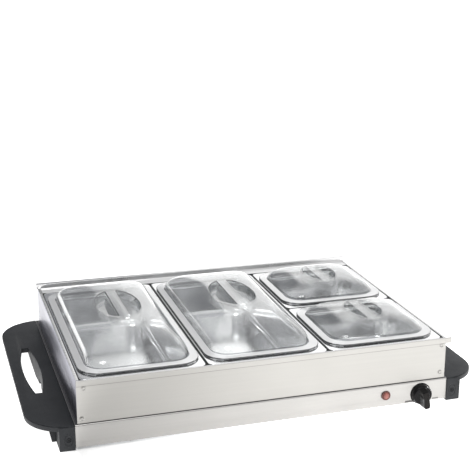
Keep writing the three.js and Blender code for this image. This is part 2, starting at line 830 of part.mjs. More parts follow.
const knobBackY = baseFrontY - knobStandOff;
const knobFrontY = knobBackY - knobDepth;
const shaftFrontY = knobFrontY + knobBoreFloor;

// Turned to the knob's rest position and moved to its axis.
function atRest(solid, y) {
  return solid.rotate([0, -pointerRestTurn, 0]).translate([knobX, y, knobZ]);
}

function thermostatShaft() {
  const bodyFront = baseFrontY + baseSheet + seatGap + thermostatPlate;
  const back = bodyFront + thermostatDepth / 2 - seatGap;
  let shaft = rodY(0, 0, shaftRadius, shaftFrontY, back, holeSides);
  const flat = block(
    -shaftRadius,
    shaftRadius,
    shaftFrontY - cutOverrun,
    shaftFrontY + shaftInKnob,
    shaftRadius / 2,
    2 * shaftRadius,
  );
  shaft = shaft.subtract(flat);
  return piece("thermostat_shaft", atRest(shaft, 0), zincSteel);
}

function knob() {
  const profile = [
    [0, 0],
    [knobRadius, 0],
    [knobRadius, knobSkirt / 2],
    [knobRadius - knobSkirt / 4, knobSkirt],
    [knobHubRadius, knobSkirt],
    [knobHubTopRadius, knobHubHeight],
    [0, knobHubHeight],
  ];
  let body = turnedTowardsFront(profile, 0, 0, 0, roundSides);
  body = body.add(pointerBar());
  body = body.subtract(rodY(0, 0, knobRecessRadius, -knobRecessDepth, cutOverrun, holeSides));
  const boreRadius = shaftRadius + knobSplineGap;
  const boreStart = -knobDepth + knobBoreFloor - seatGap;
  const flatEnd = boreStart + shaftInKnob;
  const flatZ = shaftRadius / 2 + seatGap;
  const flat = block(-boreRadius, boreRadius, -knobDepth, flatEnd, flatZ, 2 * shaftRadius);
  const bore = rodY(0, 0, boreRadius, boreStart, cutOverrun, holeSides).subtract(flat);
  body = body.subtract(bore);
  return piece("control_knob", atRest(body, knobBackY), knobPlastic);
}

// The raised grip across the knob. Its pointer is straight down until the knob is turned to rest.
function pointerBar() {
  const half = gripBarWidth / 2;
  const topHalf = gripBarTopWidth / 2;
  const endHalf = pointerEndWidth / 2;
  const topEndHalf = endHalf - (half - topHalf);
  const foot = [
    [-half, gripTail],
    [-half, -pointerReach + pointerTaper],
    [-endHalf, -pointerReach],
    [endHalf, -pointerReach],
    [half, -pointerReach + pointerTaper],
    [half, gripTail],
  ];
  const top = [
    [-topHalf, gripTail - topHalf / 2],
    [-topHalf, -pointerReach + pointerTaper],
    [-topEndHalf, -pointerReach + pointerTopEase],
    [topEndHalf, -pointerReach + pointerTopEase],
    [topHalf, -pointerReach + pointerTaper],
    [topHalf, gripTail - topHalf / 2],
  ];
  const place = (points, y) => points.map(([x, z]) => new THREE.Vector3(x, y, z));
  return loft([place(foot, -knobSkirt / 2), place(top, -knobDepth)]);
}

function indicatorLens() {
  const rimFace = seatGap + lampRimThickness;
  const profile = [
    [0, -baseSheet - seatGap],
    [lensRadius, -baseSheet - seatGap],
    [lensRadius, rimFace],
    [lensRadius * Math.SQRT1_2, rimFace + lampDomeHeight * Math.SQRT1_2],
    [0, rimFace + lampDomeHeight],
  ];
  const lens = turnedTowardsFront(profile, lampX, baseFrontY, lampZ, holeSides);
  return piece("indicator_lens", lens, redLens);
}

// The lamp's holder: a rim in front of the band, a neck through it and a closed tube behind.
function lampHolder() {
  const bore = lensRadius + seatGap;
  const profile = [
    [0, -lampBodyLength],
    [lampRadius, -lampBodyLength],
    [lampRadius, seatGap],
    [lampRimRadius, seatGap],
    [lampRimRadius, seatGap + lampRimThickness / 2],
    [lampRimRadius - lampRimThickness / 2, seatGap + lampRimThickness],
    [bore, seatGap + lampRimThickness],
    [bore, -baseSheet - 2 * seatGap],
    [0, -baseSheet - 2 * seatGap],
  ];
  const holder = turnedTowardsFront(profile, lampX, baseFrontY, lampZ, holeSides);
  return piece("lamp_holder", holder, knobPlastic);
}

// Wiring inside the base

const blockY = baseBackY - blockInsetY;
const blockBottomZ = coverTopZ + seatGap;

function terminalBlock() {
  const body = block(
    blockX - blockLength / 2,
    blockX + blockLength / 2,
    blockY - blockDepth / 2,
    blockY + blockDepth / 2,
    blockBottomZ,
    blockBottomZ + blockHeight,
  );
  return piece("terminal_block", body, ceramic);
}

function thermalCutout() {
  const top = deckUnderZ - seatGap;
  let body = rodZ(cutoutX, elementMiddleY, cutoutRadius, top - cutoutHeight, top, holeSides);
  body = body.add(
    block(
      cutoutX - cutoutRadius / 2,
      cutoutX + cutoutRadius / 2,
      elementMiddleY - cutoutLug,
      elementMiddleY + cutoutLug,
      top - cutoutPlate,
      top,
    ),
  );
  return piece("thermal_cutout", body, ceramic);
}

// A lead along straight runs, with each corner rounded.
function lead(name, corners) {
  const points = corners.map((corner) => new THREE.Vector3(...corner));
  const path = new THREE.CurvePath();
  let from = points[0];
  for (let i = 1; i + 1 < points.length; i += 1) {
    const before = points[i - 1].clone().sub(points[i]).setLength(leadBend).add(points[i]);
    const after = points[i + 1].clone().sub(points[i]).setLength(leadBend).add(points[i]);
    path.add(new THREE.LineCurve3(from, before));
    path.add(new THREE.QuadraticBezierCurve3(before, points[i], after));
    from = after;
  }
  path.add(new THREE.LineCurve3(from, points[points.length - 1]));
  return piece(name, tube(path, leadRadius, leadSides, leadSteps), leadSleeve);
}

// Leads run along the base's right-hand end, clear of the element, and stop at the faces they join.
function leads() {
  const blockFront = blockY - blockDepth / 2 - seatGap;
  const blockSide = blockX + blockLength / 2 + seatGap;
  const blockMiddleZ = blockBottomZ + blockHeight / 2;
  const thermostatMiddleY = baseFrontY + baseSheet + seatGap + thermostatPlate + thermostatDepth / 2;
  const thermostatBack = thermostatMiddleY + thermostatDepth / 2 + seatGap;
  const thermostatSide = thermostatSize / 2 + seatGap;
  const cutoutFace = cutoutRadius + seatGap;
  const cutoutZ = deckUnderZ - seatGap - cutoutHeight / 2;
  const tailX = elementTailX + seatGap;
  const turnX = tailX + leadLoop;
  const lampBack = baseFrontY + lampBodyLength + seatGap;
  return [
    lead("supply_lead", [
      [blockX, blockFront, blockMiddleZ],
      [blockX, blockFront - 2 * leadLoop, blockMiddleZ],
      [knobX, thermostatBack + 2 * leadLoop, knobZ],
      [knobX, thermostatBack, knobZ],
    ]),
    lead("heater_lead", [
      [knobX + thermostatSide, thermostatMiddleY, knobZ],
      [cutoutX + leadLoop / 2, thermostatMiddleY, knobZ],
      [cutoutX + leadLoop / 2, thermostatBack + leadLoop, knobZ],
      [cutoutX, elementMiddleY - cutoutFace - 2 * leadLoop, cutoutZ],
      [cutoutX, elementMiddleY - cutoutFace, cutoutZ],
    ]),
    lead("element_lead", [
      [cutoutX - cutoutFace, elementMiddleY, cutoutZ],
      [turnX, elementMiddleY, cutoutZ],
      [turnX, elementRunY(0), elementZ],
      [tailX, elementRunY(0), elementZ],
    ]),
    lead("return_lead", [
      [blockSide, blockY, blockMiddleZ],
      [turnX, blockY, blockMiddleZ],
      [turnX, blockY, elementZ],
      [turnX, elementRunY(elementRuns - 1), elementZ],
      [tailX, elementRunY(elementRuns - 1), elementZ],
    ]),
    lead("lamp_lead", [
      [lampX, lampBack, lampZ],
      [lampX, lampBack + leadLoop, lampZ],
      [(lampX + knobX - thermostatSide) / 2, lampBack + leadLoop, knobZ],
      [(lampX + knobX - thermostatSide) / 2, thermostatMiddleY, knobZ],
      [knobX - thermostatSide, thermostatMiddleY, knobZ],
    ]),
  ];
}

function cordBush() {
  const wall = baseSheet + 2 * seatGap;
  const inner = seatGap;
  const profile = [
    [glandBore, -glandFlange - glandLip],
    [glandLipRadius - glandBore / 4, -glandFlange - glandLip],
    [glandLipRadius, -glandFlange],
    [glandFlangeRadius, -glandFlange],
    [glandFlangeRadius, 0],
    [glandNeckRadius, 0],
    [glandNeckRadius, wall],
    [glandCollarRadius, wall],
    [glandNeckRadius, wall + glandCollar],
    [glandBore, wall + glandCollar],
    [glandBore, -glandFlange - glandLip],
  ];
  const bush = turnedTowardsFront(profile, glandX, baseBackY + inner, glandZ, roundSides / 2);
  return piece("cord_bush", bush, footRubber);
}

// Lift-off frame

function frontPanel() {
  const top = ledgeUnderZ;
  const section = outline([
    [frameFrontY, frameBottomZ],
    [frameFrontY + frameLip, frameBottomZ],
    [frameFrontY + frameLip, frameBottomZ + frameSheet],
    [frameFrontY + frameSheet, frameBottomZ + frameSheet],
    [frameFrontY + frameSheet, rimZ],
    [frameFrontY - rimProud + rimProud / 2, rimZ],
    [frameFrontY - rimProud, rimZ - rimProud / 2],
    [frameFrontY - rimProud, rimZ - rimBand],
    [frameFrontY, rimZ - rimBand],
  ]);
  const ledgeEndX = frameEndX - sideRim - seatGap;
  let panel = alongX(section, -frameEndX, frameEndX);
  panel = panel.add(
    block(
      -ledgeEndX,
      ledgeEndX,
      frameFrontY + frameSheet / 2,
      frontLedgeY,
      top,
      ledgeZ,
    ),
  );
  const tab = outline([
    [frameFrontY, rimZ - rimBand],
    [frameFrontY + frameSheet, rimZ - rimBand],
    [frameFrontY + frameSheet, rimZ],
    [frameFrontY - rimProud / 2, rimZ],
    [frameFrontY - rimProud, rimZ - rimProud / 2],
    [frameFrontY - rimProud, rimZ - rimBand],
  ]);
  panel = panel.add(alongX(tab, frameEndX - sideRim, frameEndX + rimOverhang));
  return piece("front_panel", panel, brushedSteel);
}

function rearPanel() {
  const railFront = frameBackY + railProud - railDepth;
  const section = outline([
    [frameBackY, frameBottomZ],
    [frameBackY, rimZ + frameSheet],
    [frameBackY - frameSheet, rimZ + frameSheet],
    [frameBackY - frameSheet, frameBottomZ + frameSheet],
    [frameBackY - frameLip, frameBottomZ + frameSheet],
    [frameBackY - frameLip, frameBottomZ],
  ]);
  const ledgeEndX = frameEndX - sideRim - seatGap;
  let panel = alongX(section, -frameEndX, frameEndX);
  for (const [y0, y1, z0, z1] of [
    [rearLedgeY, shelfFrontY + frameSheet / 2, ledgeUnderZ, ledgeZ],
    [shelfFrontY, shelfFrontY + frameSheet, ledgeUnderZ, rimZ],
    [shelfFrontY, frameBackY - frameSheet / 2, rimZ - frameSheet, rimZ],
  ]) {
    panel = panel.add(block(-ledgeEndX, ledgeEndX, y0, y1, z0, z1));
  }
  const railEndX = frameEndX + railOverhang;
  const railBase = rimZ + seatGap;
  const railBack = frameBackY + railProud;
  const railTop = rimZ + railRise;
  const railBore = block(
    -railEndX - cutOverrun,
    railEndX + cutOverrun,
    railFront + frameSheet,
    railBack - frameSheet,
    railBase + frameSheet,
    railTop - frameSheet,
  );
  const rail = block(-railEndX, railEndX, railFront, railBack, railBase, railTop).subtract(railBore);
  panel = panel.add(rail);
  return piece("rear_panel", panel, brushedSteel);
}

function sideWall(side) {
  const outer = frameEndX;
  const ledgeFront = frontLedgeY + seatGap;
  const ledgeBack = rearLedgeY - seatGap;
  let wall = block(outer - frameSheet, outer, wallFrontY, wallBackY, frameBottomZ, rimZ - frameSheet / 2);
  wall = wall.add(block(outer - sideRim, outer, wallFrontY, wallBackY, ledgeUnderZ, rimZ));
  wall = wall.add(
    block(outer - sideRim - ledgeWidth, outer - sideRim / 2, ledgeFront, ledgeBack, ledgeUnderZ, ledgeZ),
  );
  const lipFront = frameFrontY + frameLip + seatGap;
  const lipBack = frameBackY - frameLip - seatGap;
  const join = outer - frameSheet / 2;
  const lipTop = frameBottomZ + frameSheet;
  const clearZ = lipTop + seatGap;
  wall = wall.add(block(outer - frameLip, join, lipFront, lipBack, frameBottomZ, lipTop));
  const tabTop = ledgeUnderZ - seatGap;
  for (const [y0, y1] of [
    [wallFrontY, wallFrontY + frameSheet],
    [wallBackY - frameSheet, wallBackY],
  ]) {
    wall = wall.add(block(outer - wallTab, join, y0, y1, clearZ, tabTop));
  }
  // Clear of the turned-in lower edges of the front and rear panels.
  for (const [y0, y1] of [
    [wallFrontY - cutOverrun, lipFront],
    [lipBack, wallBackY + cutOverrun],
  ]) {
    const past = outer + cutOverrun;
    const notch = block(outer - wallTab - cutOverrun, past, y0, y1, frameBottomZ - cutOverrun, clearZ);
    wall = wall.subtract(notch);
  }
  return piece(side > 0 ? "right_wall" : "left_wall", mirrored(wall, side), brushedSteel);
}

function dividerSection(middle) {
  const half = panGap / 2 + dividerSeat;
  const webHalf = frameSheet / 2;
  return outline([
    [middle - half, ledgeUnderZ],
    [middle - webHalf, ledgeUnderZ],
    [middle - webHalf, ledgeUnderZ - dividerWeb],
    [middle + webHalf, ledgeUnderZ - dividerWeb],
    [middle + webHalf, ledgeUnderZ],
    [middle + half, ledgeUnderZ],
    [middle + half, ledgeZ],
    [middle - half, ledgeZ],
  ]);
}

const dividerX = panPitch / 2;

// A T-shaped bar from front to back. Its head stops at the ledges; its web runs on under them.
function longDivider(name, side) {
  const headFront = frontLedgeY + seatGap;
  const headBack = rearLedgeY - seatGap;
  const x = side * dividerX;
  let bar = alongY(dividerSection(x), headFront, headBack);
  const half = frameSheet / 2;
  bar = bar.add(
    block(x - half, x + half, wallFrontY, wallBackY, ledgeUnderZ - dividerWeb, ledgeUnderZ - seatGap),
  );
  return piece(name, bar, brushedSteel);
}

const smallMiddleY = (panFrontY + panBackY) / 2;

function shortDivider() {
  const headStart = dividerX + panGap / 2 + dividerSeat + seatGap;
  const headEnd = frameEndX - sideRim - ledgeWidth - seatGap;
  let bar = alongX(dividerSection(smallMiddleY), headStart, headEnd);
  const half = frameSheet / 2;
  bar = bar.add(
    block(
      dividerX + half + seatGap,
      frameEndX - frameSheet - seatGap,
      smallMiddleY - half,
      smallMiddleY + half,
      ledgeUnderZ - dividerWeb,
      ledgeUnderZ - seatGap,
    ),
  );
  return piece("short_divider", bar, brushedSteel);
}

// Pans

function pan(name, x, y, length) {
  const halfX = panWidth / 2;
  const halfY = length / 2;
  const openX = halfX - panFlangeSide;
  const openY = halfY - panFlangeEnd;
  const floorZ = panTopZ - panDepth;
  const wallRing = (z, inset, radius) => ring(x, y, z, openX - inset, openY - inset, radius);
  const bowl = (sheet) => {
    const rings = [];
    for (let step = 0; step <= filletSteps; step += 1) {
      const angle = (Math.PI / 2) * (step / filletSteps);
      const inward = panFloorFillet * (1 - Math.sin(angle));
      const z = floorZ - sheet + panFloorFillet * (1 - Math.cos(angle));
      rings.push(wallRing(z, panDraft + inward - sheet, panBottomCorner + sheet - inward));
    }
    return rings;
  };
  const outside = bowl(panSheet);
  const inside = bowl(0).reverse();
  const rings = [
    ...outside,
    wallRing(panUnderZ, -panSheet, panCorner + panSheet),
    ring(x, y, panUnderZ, halfX, halfY, panFlangeCorner),
    ring(x, y, panTopZ, halfX, halfY, panFlangeCorner),
    wallRing(panTopZ, 0, panCorner),
    ...inside,
  ];
  return piece(name, loft(rings), panSteel);
}

// Lids

const lidRibHalfX = panWidth / 2 - panFlangeSide - lidFit;

function domeRings(x, y, footZ, rise, footX, footY, crownY, inset) {
  const rings = [];
  for (let step = 0; step <= domeSteps; step += 1) {
    const angle = (Math.PI / 2) * (step / domeSteps);
    const inward = 1 - Math.cos(angle);
    const halfX = footX - inset - inward * (footX - lidCrownHalfX);
    const halfY = footY - inset - inward * (footY - crownY);
    const radius = lidCorner - inset - inward * (lidCorner - lidCrownCorner);
    rings.push(ring(x, y, footZ + (rise - inset) * Math.sin(angle), halfX, halfY, radius));
  }
  return rings;
}

// Half of the finger recess, on one side of the bar that crosses it.
function recessPlan(x, y, halfX, halfY, side, growth) {
  const rx = halfX + growth;
  const ry = halfY + growth;
  const edge = gripBridge / 2 - growth;
  const start = Math.acos(edge / rx);
  const plan = new THREE.Shape();
  if (side > 0) plan.absellipse(x, y, rx, ry, -start, start, false);
  else plan.absellipse(x, y, rx, ry, Math.PI - start, Math.PI + start, false);
  return plan;
}

function lid(name, x, y, length, spec) {
  const footX = lidRibHalfX;
  const footY = length / 2 - panFlangeEnd - lidFit;
  const flangeX = panWidth / 2 - lidSideInset;
  const flangeY = length / 2 - lidEndInset;
  const flangeTopZ = lidUnderZ + lidFlangeThickness;
  const skirtZ = lidUnderZ - lidSkirt;
  const crownZ = flangeTopZ + spec.rise;
  const outer = domeRings(x, y, flangeTopZ, spec.rise, footX, footY, spec.crownY, 0);
  const inner = domeRings(x, y, flangeTopZ, spec.rise, footX, footY, spec.crownY, lidSheet).reverse();
  const rings = [
    ...inner,
    ring(x, y, skirtZ, footX - lidSheet, footY - lidSheet, lidCorner - lidSheet),
    ring(x, y, skirtZ, footX, footY, lidCorner),
    ring(x, y, lidUnderZ, footX, footY, lidCorner),
    ring(x, y, lidUnderZ, flangeX, flangeY, lidFlangeCorner),
    ring(x, y, flangeTopZ, flangeX, flangeY, lidFlangeCorner),
    ...outer,
  ];
  let body = loft(rings);
  const dome = loft([ring(x, y, lidUnderZ, footX, footY, lidCorner), ...outer]);
  const recessZ = crownZ - spec.gripDepth;
  const recess = (side, growth) => recessPlan(x, y, spec.gripX, spec.gripY, side, growth);
  for (const side of [-1, 1]) {
    body = body.add(alongZ(recess(side, lidSheet), recessZ - lidSheet, crownZ).intersect(dome));
  }
  for (const side of [-1, 1]) {
    body = body.subtract(alongZ(recess(side, 0), recessZ, crownZ + cutOverrun));
  }
  return piece(name, body, clearPlastic);
}

const largeLid = {
  rise: largeLidRise,
  crownY: largeLidCrownHalfY,
  gripX: largeGripHalfX,
  gripY: largeGripHalfY,
  gripDepth: largeGripDepth,
};
const smallLid = {
  rise: smallLidRise,
  crownY: smallLidCrownHalfY,
  gripX: smallGripHalfX,
  gripY: smallGripHalfY,
  gripDepth: smallGripDepth,
};

// Assembly

const chafingDish = new THREE.Group();

const base = new THREE.Group();
base.add(baseShell(), bottomCover(), heatingElement(), heatShield());
[-1, 0, 1].forEach((place, i) => base.add(elementStrap(`element_strap_${i + 1}`, place * strapSpacing)));
coverScrewPlaces().forEach(([x, y], i) => base.add(coverScrew(`cover_screw_${i + 1}`, x, y)));
for (const side of [-1, 1]) {
  base.add(handle(side));
  for (const end of ["front", "back"]) {
    const corner = `${side > 0 ? "right" : "left"}_${end}`;
    base.add(foot(`${corner}_foot`, side, end));
    base.add(legScrew(`${corner}_leg_screw`, side, end));
    base.add(legBracket(`${corner}_bracket`, side, end));
  }
}
base.add(thermostat(), thermostatNut(), indicatorLens(), lampHolder());
base.add(terminalBlock(), thermalCutout(), ...leads(), cordBush());

const control = new THREE.Group();
control.add(thermostatShaft(), knob());

const frame = new THREE.Group();
frame.add(frontPanel(), rearPanel(), sideWall(-1), sideWall(1));
frame.add(longDivider("left_divider", -1), longDivider("right_divider", 1), shortDivider());

const smallOffset = (smallPanLength + panGap) / 2;
const pans = [
  ["left", -panPitch, smallMiddleY, largePanLength, largeLid],
  ["middle", 0, smallMiddleY, largePanLength, largeLid],
  ["rear_small", panPitch, smallMiddleY + smallOffset, smallPanLength, smallLid],
  ["front_small", panPitch, smallMiddleY - smallOffset, smallPanLength, smallLid],
];
for (const [place, x, y, length, spec] of pans) {
  const setting = new THREE.Group();
  setting.add(pan(`${place}_pan`, x, y, length), lid(`${place}_lid`, x, y, length, spec));
  frame.add(setting);
}

chafingDish.add(base, control, frame);

export default chafingDish;
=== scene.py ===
"""Finished look of a countertop chafing dish: a warming base with moulded end handles, a lift-off steel
frame, four hanging pans and a clear domed lid on each pan. Metres, +Z up, +X towards the knob's end."""

import json
import math

import bmesh
import bpy
from mathutils import Matrix, Vector


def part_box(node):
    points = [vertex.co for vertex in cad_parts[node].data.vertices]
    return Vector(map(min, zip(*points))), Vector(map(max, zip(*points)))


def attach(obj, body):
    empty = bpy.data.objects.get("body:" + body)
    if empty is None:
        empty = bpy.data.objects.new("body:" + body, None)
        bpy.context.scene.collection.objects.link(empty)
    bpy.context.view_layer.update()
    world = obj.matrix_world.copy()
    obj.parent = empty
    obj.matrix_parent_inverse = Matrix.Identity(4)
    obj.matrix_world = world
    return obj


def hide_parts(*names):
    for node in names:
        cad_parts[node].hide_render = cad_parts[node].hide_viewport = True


bl_info = {
    "name": "Chafing dish",
    "version": (1, 0, 0),
    "blender": (4, 5, 0),
    "location": "View3D > Sidebar > Chafing dish",
    "description": "Builds the finished pieces of a buffet chafing dish",
    "category": "Object",
}

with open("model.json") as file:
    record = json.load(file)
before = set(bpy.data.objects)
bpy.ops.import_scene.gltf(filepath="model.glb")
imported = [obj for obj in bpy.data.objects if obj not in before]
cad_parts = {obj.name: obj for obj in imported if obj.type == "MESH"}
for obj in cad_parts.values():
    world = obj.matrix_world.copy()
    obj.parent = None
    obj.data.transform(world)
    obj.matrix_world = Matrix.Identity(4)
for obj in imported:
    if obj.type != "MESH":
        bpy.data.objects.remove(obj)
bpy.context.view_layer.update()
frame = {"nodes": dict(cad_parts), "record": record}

PANS = ("left", "middle", "rear_small", "front_small")
CORNERS = ("left_front", "left_back", "right_front", "right_back")
MM = 0.001
MERGE_GAP = 1e-6
CUT_GAP = 1e-7


# Places read from the solid pieces

def middle_of(node):
    low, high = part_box(node)
    return (low + high) / 2


def half_of(node):
    low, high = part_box(node)
    return (high - low) / 2


def quarter_turn(steps, start=0):
    """Angles in even steps up to a right angle, from the step with number start."""
    return [math.pi / 2 * step / steps for step in range(start, steps + 1)]


def facing_front(x, y, z):
    """Turns a piece that is modelled upwards so that it points towards the front, with its +Y up."""
    turn = Matrix(((1, 0, 0), (0, 0, -1), (0, 1, 0))).to_4x4()
    return Matrix.Translation((x, y, z)) @ turn


def facing_back(x, y, z):
    return Matrix.Translation((x, y, z)) @ Matrix.Rotation(math.pi, 4, "Z") @ facing_front(0, 0, 0)


# Materials

def start_material(name):
    material = bpy.data.materials.new(name)
    material.use_nodes = True
    shader = material.node_tree.nodes["Principled BSDF"]
    return material, material.node_tree, shader


def add_node(tree, kind, **values):
    """A node of a kind, with its named inputs set."""
    node = tree.nodes.new(kind)
    for name, value in values.items():
        node.inputs[name.replace("_", " ")].default_value = value
    return node


def object_pattern(tree, scale=(1.0, 1.0, 1.0), turn=(0.0, 0.0, 0.0), offset=(0.0, 0.0, 0.0)):
    """Object coordinates, stretched by scale."""
    place = tree.nodes.new("ShaderNodeTexCoord")
    mapping = tree.nodes.new("ShaderNodeMapping")
    mapping.inputs["Scale"].default_value = scale
    mapping.inputs["Rotation"].default_value = turn
    mapping.inputs["Location"].default_value = offset
    tree.links.new(place.outputs["Object"], mapping.inputs["Vector"])
    return mapping.outputs["Vector"]


def apart(tree, vector):
    """The X, Y and Z of a vector, each on its own."""
    split = tree.nodes.new("ShaderNodeSeparateXYZ")
    tree.links.new(vector, split.inputs["Vector"])
    return split.outputs


def object_axes(tree):
    return apart(tree, tree.nodes.new("ShaderNodeTexCoord").outputs["Object"])


def noise(tree, vector, scale, detail, roughness):
    node = add_node(tree, "ShaderNodeTexNoise", Scale=scale, Detail=detail, Roughness=roughness)
    tree.links.new(vector, node.inputs["Vector"])
    return node.outputs["Fac"]


def spread(tree, value, low, high, start=0.3, end=0.7):
    """Maps a noise value onto a range."""
    node = tree.nodes.new("ShaderNodeMapRange")
    node.inputs["From Min"].default_value = start
    node.inputs["From Max"].default_value = end
    node.inputs["To Min"].default_value = low
    node.inputs["To Max"].default_value = high
    tree.links.new(value, node.inputs["Value"])
    return node.outputs["Result"]


def sums(tree, kind, first, second=None):
    """A Math node; either side may be a socket or a number, and some kinds need only one."""
    node = tree.nodes.new("ShaderNodeMath")
    node.operation = kind
    for socket, value in zip(node.inputs, (first, second)):
        if value is None:
            continue
        if isinstance(value, (int, float)):
            socket.default_value = value
        else:
            tree.links.new(value, socket)
    return node.outputs["Value"]


def blend_colours(tree, share, first, second):
    node = tree.nodes.new("ShaderNodeMix")
    node.data_type = "RGBA"
    tree.links.new(share, node.inputs[0])
    first_colour, second_colour = node.inputs[6], node.inputs[7]
    for socket, value in ((first_colour, first), (second_colour, second)):
        if isinstance(value, bpy.types.NodeSocket):
            tree.links.new(value, socket)
        else:
            socket.default_value = (*value, 1.0)
    return node.outputs[2]


def add_bump(tree, shader, height, strength, distance, before=None):
    node = tree.nodes.new("ShaderNodeBump")
    node.inputs["Strength"].default_value = strength
    node.inputs["Distance"].default_value = distance
    tree.links.new(height, node.inputs["Height"])
    if before is not None:
        tree.links.new(before, node.inputs["Normal"])
    tree.links.new(node.outputs["Normal"], shader.inputs["Normal"])
    return node.outputs["Normal"]


def shaded(colour, factor):
    return tuple(channel * factor for channel in colour)


def weld_marks(tree, places, radius):
    """Height of the small round dents that spot welds leave at the given places."""
    coords = tree.nodes.new("ShaderNodeTexCoord")
    total = None
    for place in places:
        away = tree.nodes.new("ShaderNodeVectorMath")
        away.operation = "DISTANCE"
        away.inputs[1].default_value = place
        tree.links.new(coords.outputs["Object"], away.inputs[0])
        dent = tree.nodes.new("ShaderNodeMapRange")
        dent.interpolation_type = "SMOOTHSTEP"
        dent.inputs["From Min"].default_value = radius * 0.25
        dent.inputs["From Max"].default_value = radius
        dent.inputs["To Min"].default_value = 0.0
        dent.inputs["To Max"].default_value = 1.0
        tree.links.new(away.outputs["Value"], dent.inputs["Value"])
        value = dent.outputs["Result"]
        total = value if total is None else sums(tree, "MULTIPLY", total, value)
    return total


def painted_crease_shade(tree, heights, reach):
    """Falls to 0 along thin level lines, where one sheet meets another, and is 1 elsewhere; the colour is
    darkened there as painted shade in the seams.
    """
    axes = object_axes(tree)
    total = None
    for height in heights:
        away = sums(tree, "ABSOLUTE", sums(tree, "SUBTRACT", axes["Z"], height))
        value = spread(tree, away, 0.0, 1.0, reach * 0.35, reach)
        total = value if total is None else sums(tree, "MULTIPLY", total, value)
    return total


def brushed_steel(name, colour, roughness, grain=(3.0, 260.0, 260.0), strength=0.35, welds=(), shade_lines=()):
    """Sheet steel with a fine brushed grain, faint smudges and thin dark lines of painted shade along its
    seams.
    """
    brush_depth = 0.12 * MM
    crease_shade_reach = 0.8 * MM
    weld_radius = 3.6 * MM
    weld_depth = 1.4 * MM
    broad_scale = 0.22
    fine_share = 0.6
    material, tree, shader = start_material(name)
    fine = noise(tree, object_pattern(tree, grain), 1.0, 5.0, 0.7)
    broad = noise(tree, object_pattern(tree, shaded(grain, broad_scale)), 1.0, 3.0, 0.6)
    smudge = noise(tree, object_pattern(tree), 11.0, 3.0, 0.5)
    fine_part = sums(tree, "MULTIPLY", fine, fine_share)
    broad_part = sums(tree, "MULTIPLY", broad, 1.0 - fine_share)
    mixed = sums(tree, "ADD", fine_part, broad_part)
    tint = blend_colours(tree, spread(tree, mixed, 0.0, 1.0, 0.36, 0.64), shaded(colour, 0.9), colour)
    tint = blend_colours(tree, spread(tree, smudge, 0.0, 0.35), tint, shaded(colour, 0.93))
    # Thin dark lines at the given heights are painted shade along the seams.
    if shade_lines:
        tint = blend_colours(tree, painted_crease_shade(tree, shade_lines, crease_shade_reach), shaded(colour, 0.55), tint)
    tree.links.new(tint, shader.inputs["Base Color"])
    shader.inputs["Metallic"].default_value = 1.0
    rough = spread(tree, mixed, roughness - 0.07, roughness + 0.07)
    rough = sums(tree, "ADD", rough, spread(tree, smudge, -0.03, 0.05))
    tree.links.new(rough, shader.inputs["Roughness"])
    normal = add_bump(tree, shader, mixed, strength, brush_depth)
    if welds:
        add_bump(tree, shader, weld_marks(tree, welds, weld_radius), 1.0, weld_depth, normal)
    return material


def pressed_steel(name, colour, roughness):
    """Bright pressed pan steel: nearly a mirror, with a slight drawn waviness and fine wipe marks."""
    wave_depth = 0.8 * MM
    wipe_depth = 0.1 * MM
    material, tree, shader = start_material(name)
    wave = noise(tree, object_pattern(tree), 16.0, 2.0, 0.45)
    wipe = noise(tree, object_pattern(tree, (30.0, 380.0, 60.0), (0.0, 0.0, 0.5)), 1.0, 4.0, 0.65)
    tint = blend_colours(tree, spread(tree, wipe, 0.0, 1.0), shaded(colour, 0.95), colour)
    tree.links.new(tint, shader.inputs["Base Color"])
    shader.inputs["Metallic"].default_value = 1.0
    rough = spread(tree, wipe, roughness - 0.03, roughness + 0.04)
    rough = sums(tree, "ADD", rough, spread(tree, wave, -0.02, 0.03))
    tree.links.new(rough, shader.inputs["Roughness"])
    normal = add_bump(tree, shader, wave, 0.25, wave_depth)
    add_bump(tree, shader, wipe, 0.1, wipe_depth, normal)
    return material


def plain_metal(name, colour, roughness, cloud=60.0, contrast=0.12):
    """Plated or cast metal: mottled colour and an uneven shine."""
    speck_depth = 0.15 * MM
    material, tree, shader = start_material(name)
    mottle = noise(tree, object_pattern(tree), cloud, 5.0, 0.6)
    speck = noise(tree, object_pattern(tree), cloud * 14.0, 2.0, 0.5)
    tint = blend_colours(tree, spread(tree, mottle, 0.0, 1.0), shaded(colour, 1.0 - contrast), colour)
    tree.links.new(tint, shader.inputs["Base Color"])
    shader.inputs["Metallic"].default_value = 1.0
    tree.links.new(spread(tree, mottle, roughness - 0.08, roughness + 0.1), shader.inputs["Roughness"])
    add_bump(tree, shader, speck, 0.12, speck_depth)
    return material


def oval_grooves(tree, centre_x, centre_z, half_x, half_z):
    """Height that drops in an upright oval groove round a screw, at both ends of the base."""
    groove_floor, groove_brim = 0.05, 0.16
    axes = object_axes(tree)
    across = sums(tree, "SUBTRACT", sums(tree, "ABSOLUTE", axes["X"]), centre_x)
    along = sums(tree, "SUBTRACT", axes["Z"], centre_z)
    squares = []
    for away, half in ((across, half_x), (along, half_z)):
        share = sums(tree, "ABSOLUTE", sums(tree, "DIVIDE", away, half))
        squares.append(sums(tree, "POWER", share, 2.0))
    reach = sums(tree, "SQRT", sums(tree, "ADD", *squares))
    from_oval = sums(tree, "ABSOLUTE", sums(tree, "SUBTRACT", reach, 1.0))
    return spread(tree, from_oval, 0.0, 1.0, groove_floor, groove_brim)


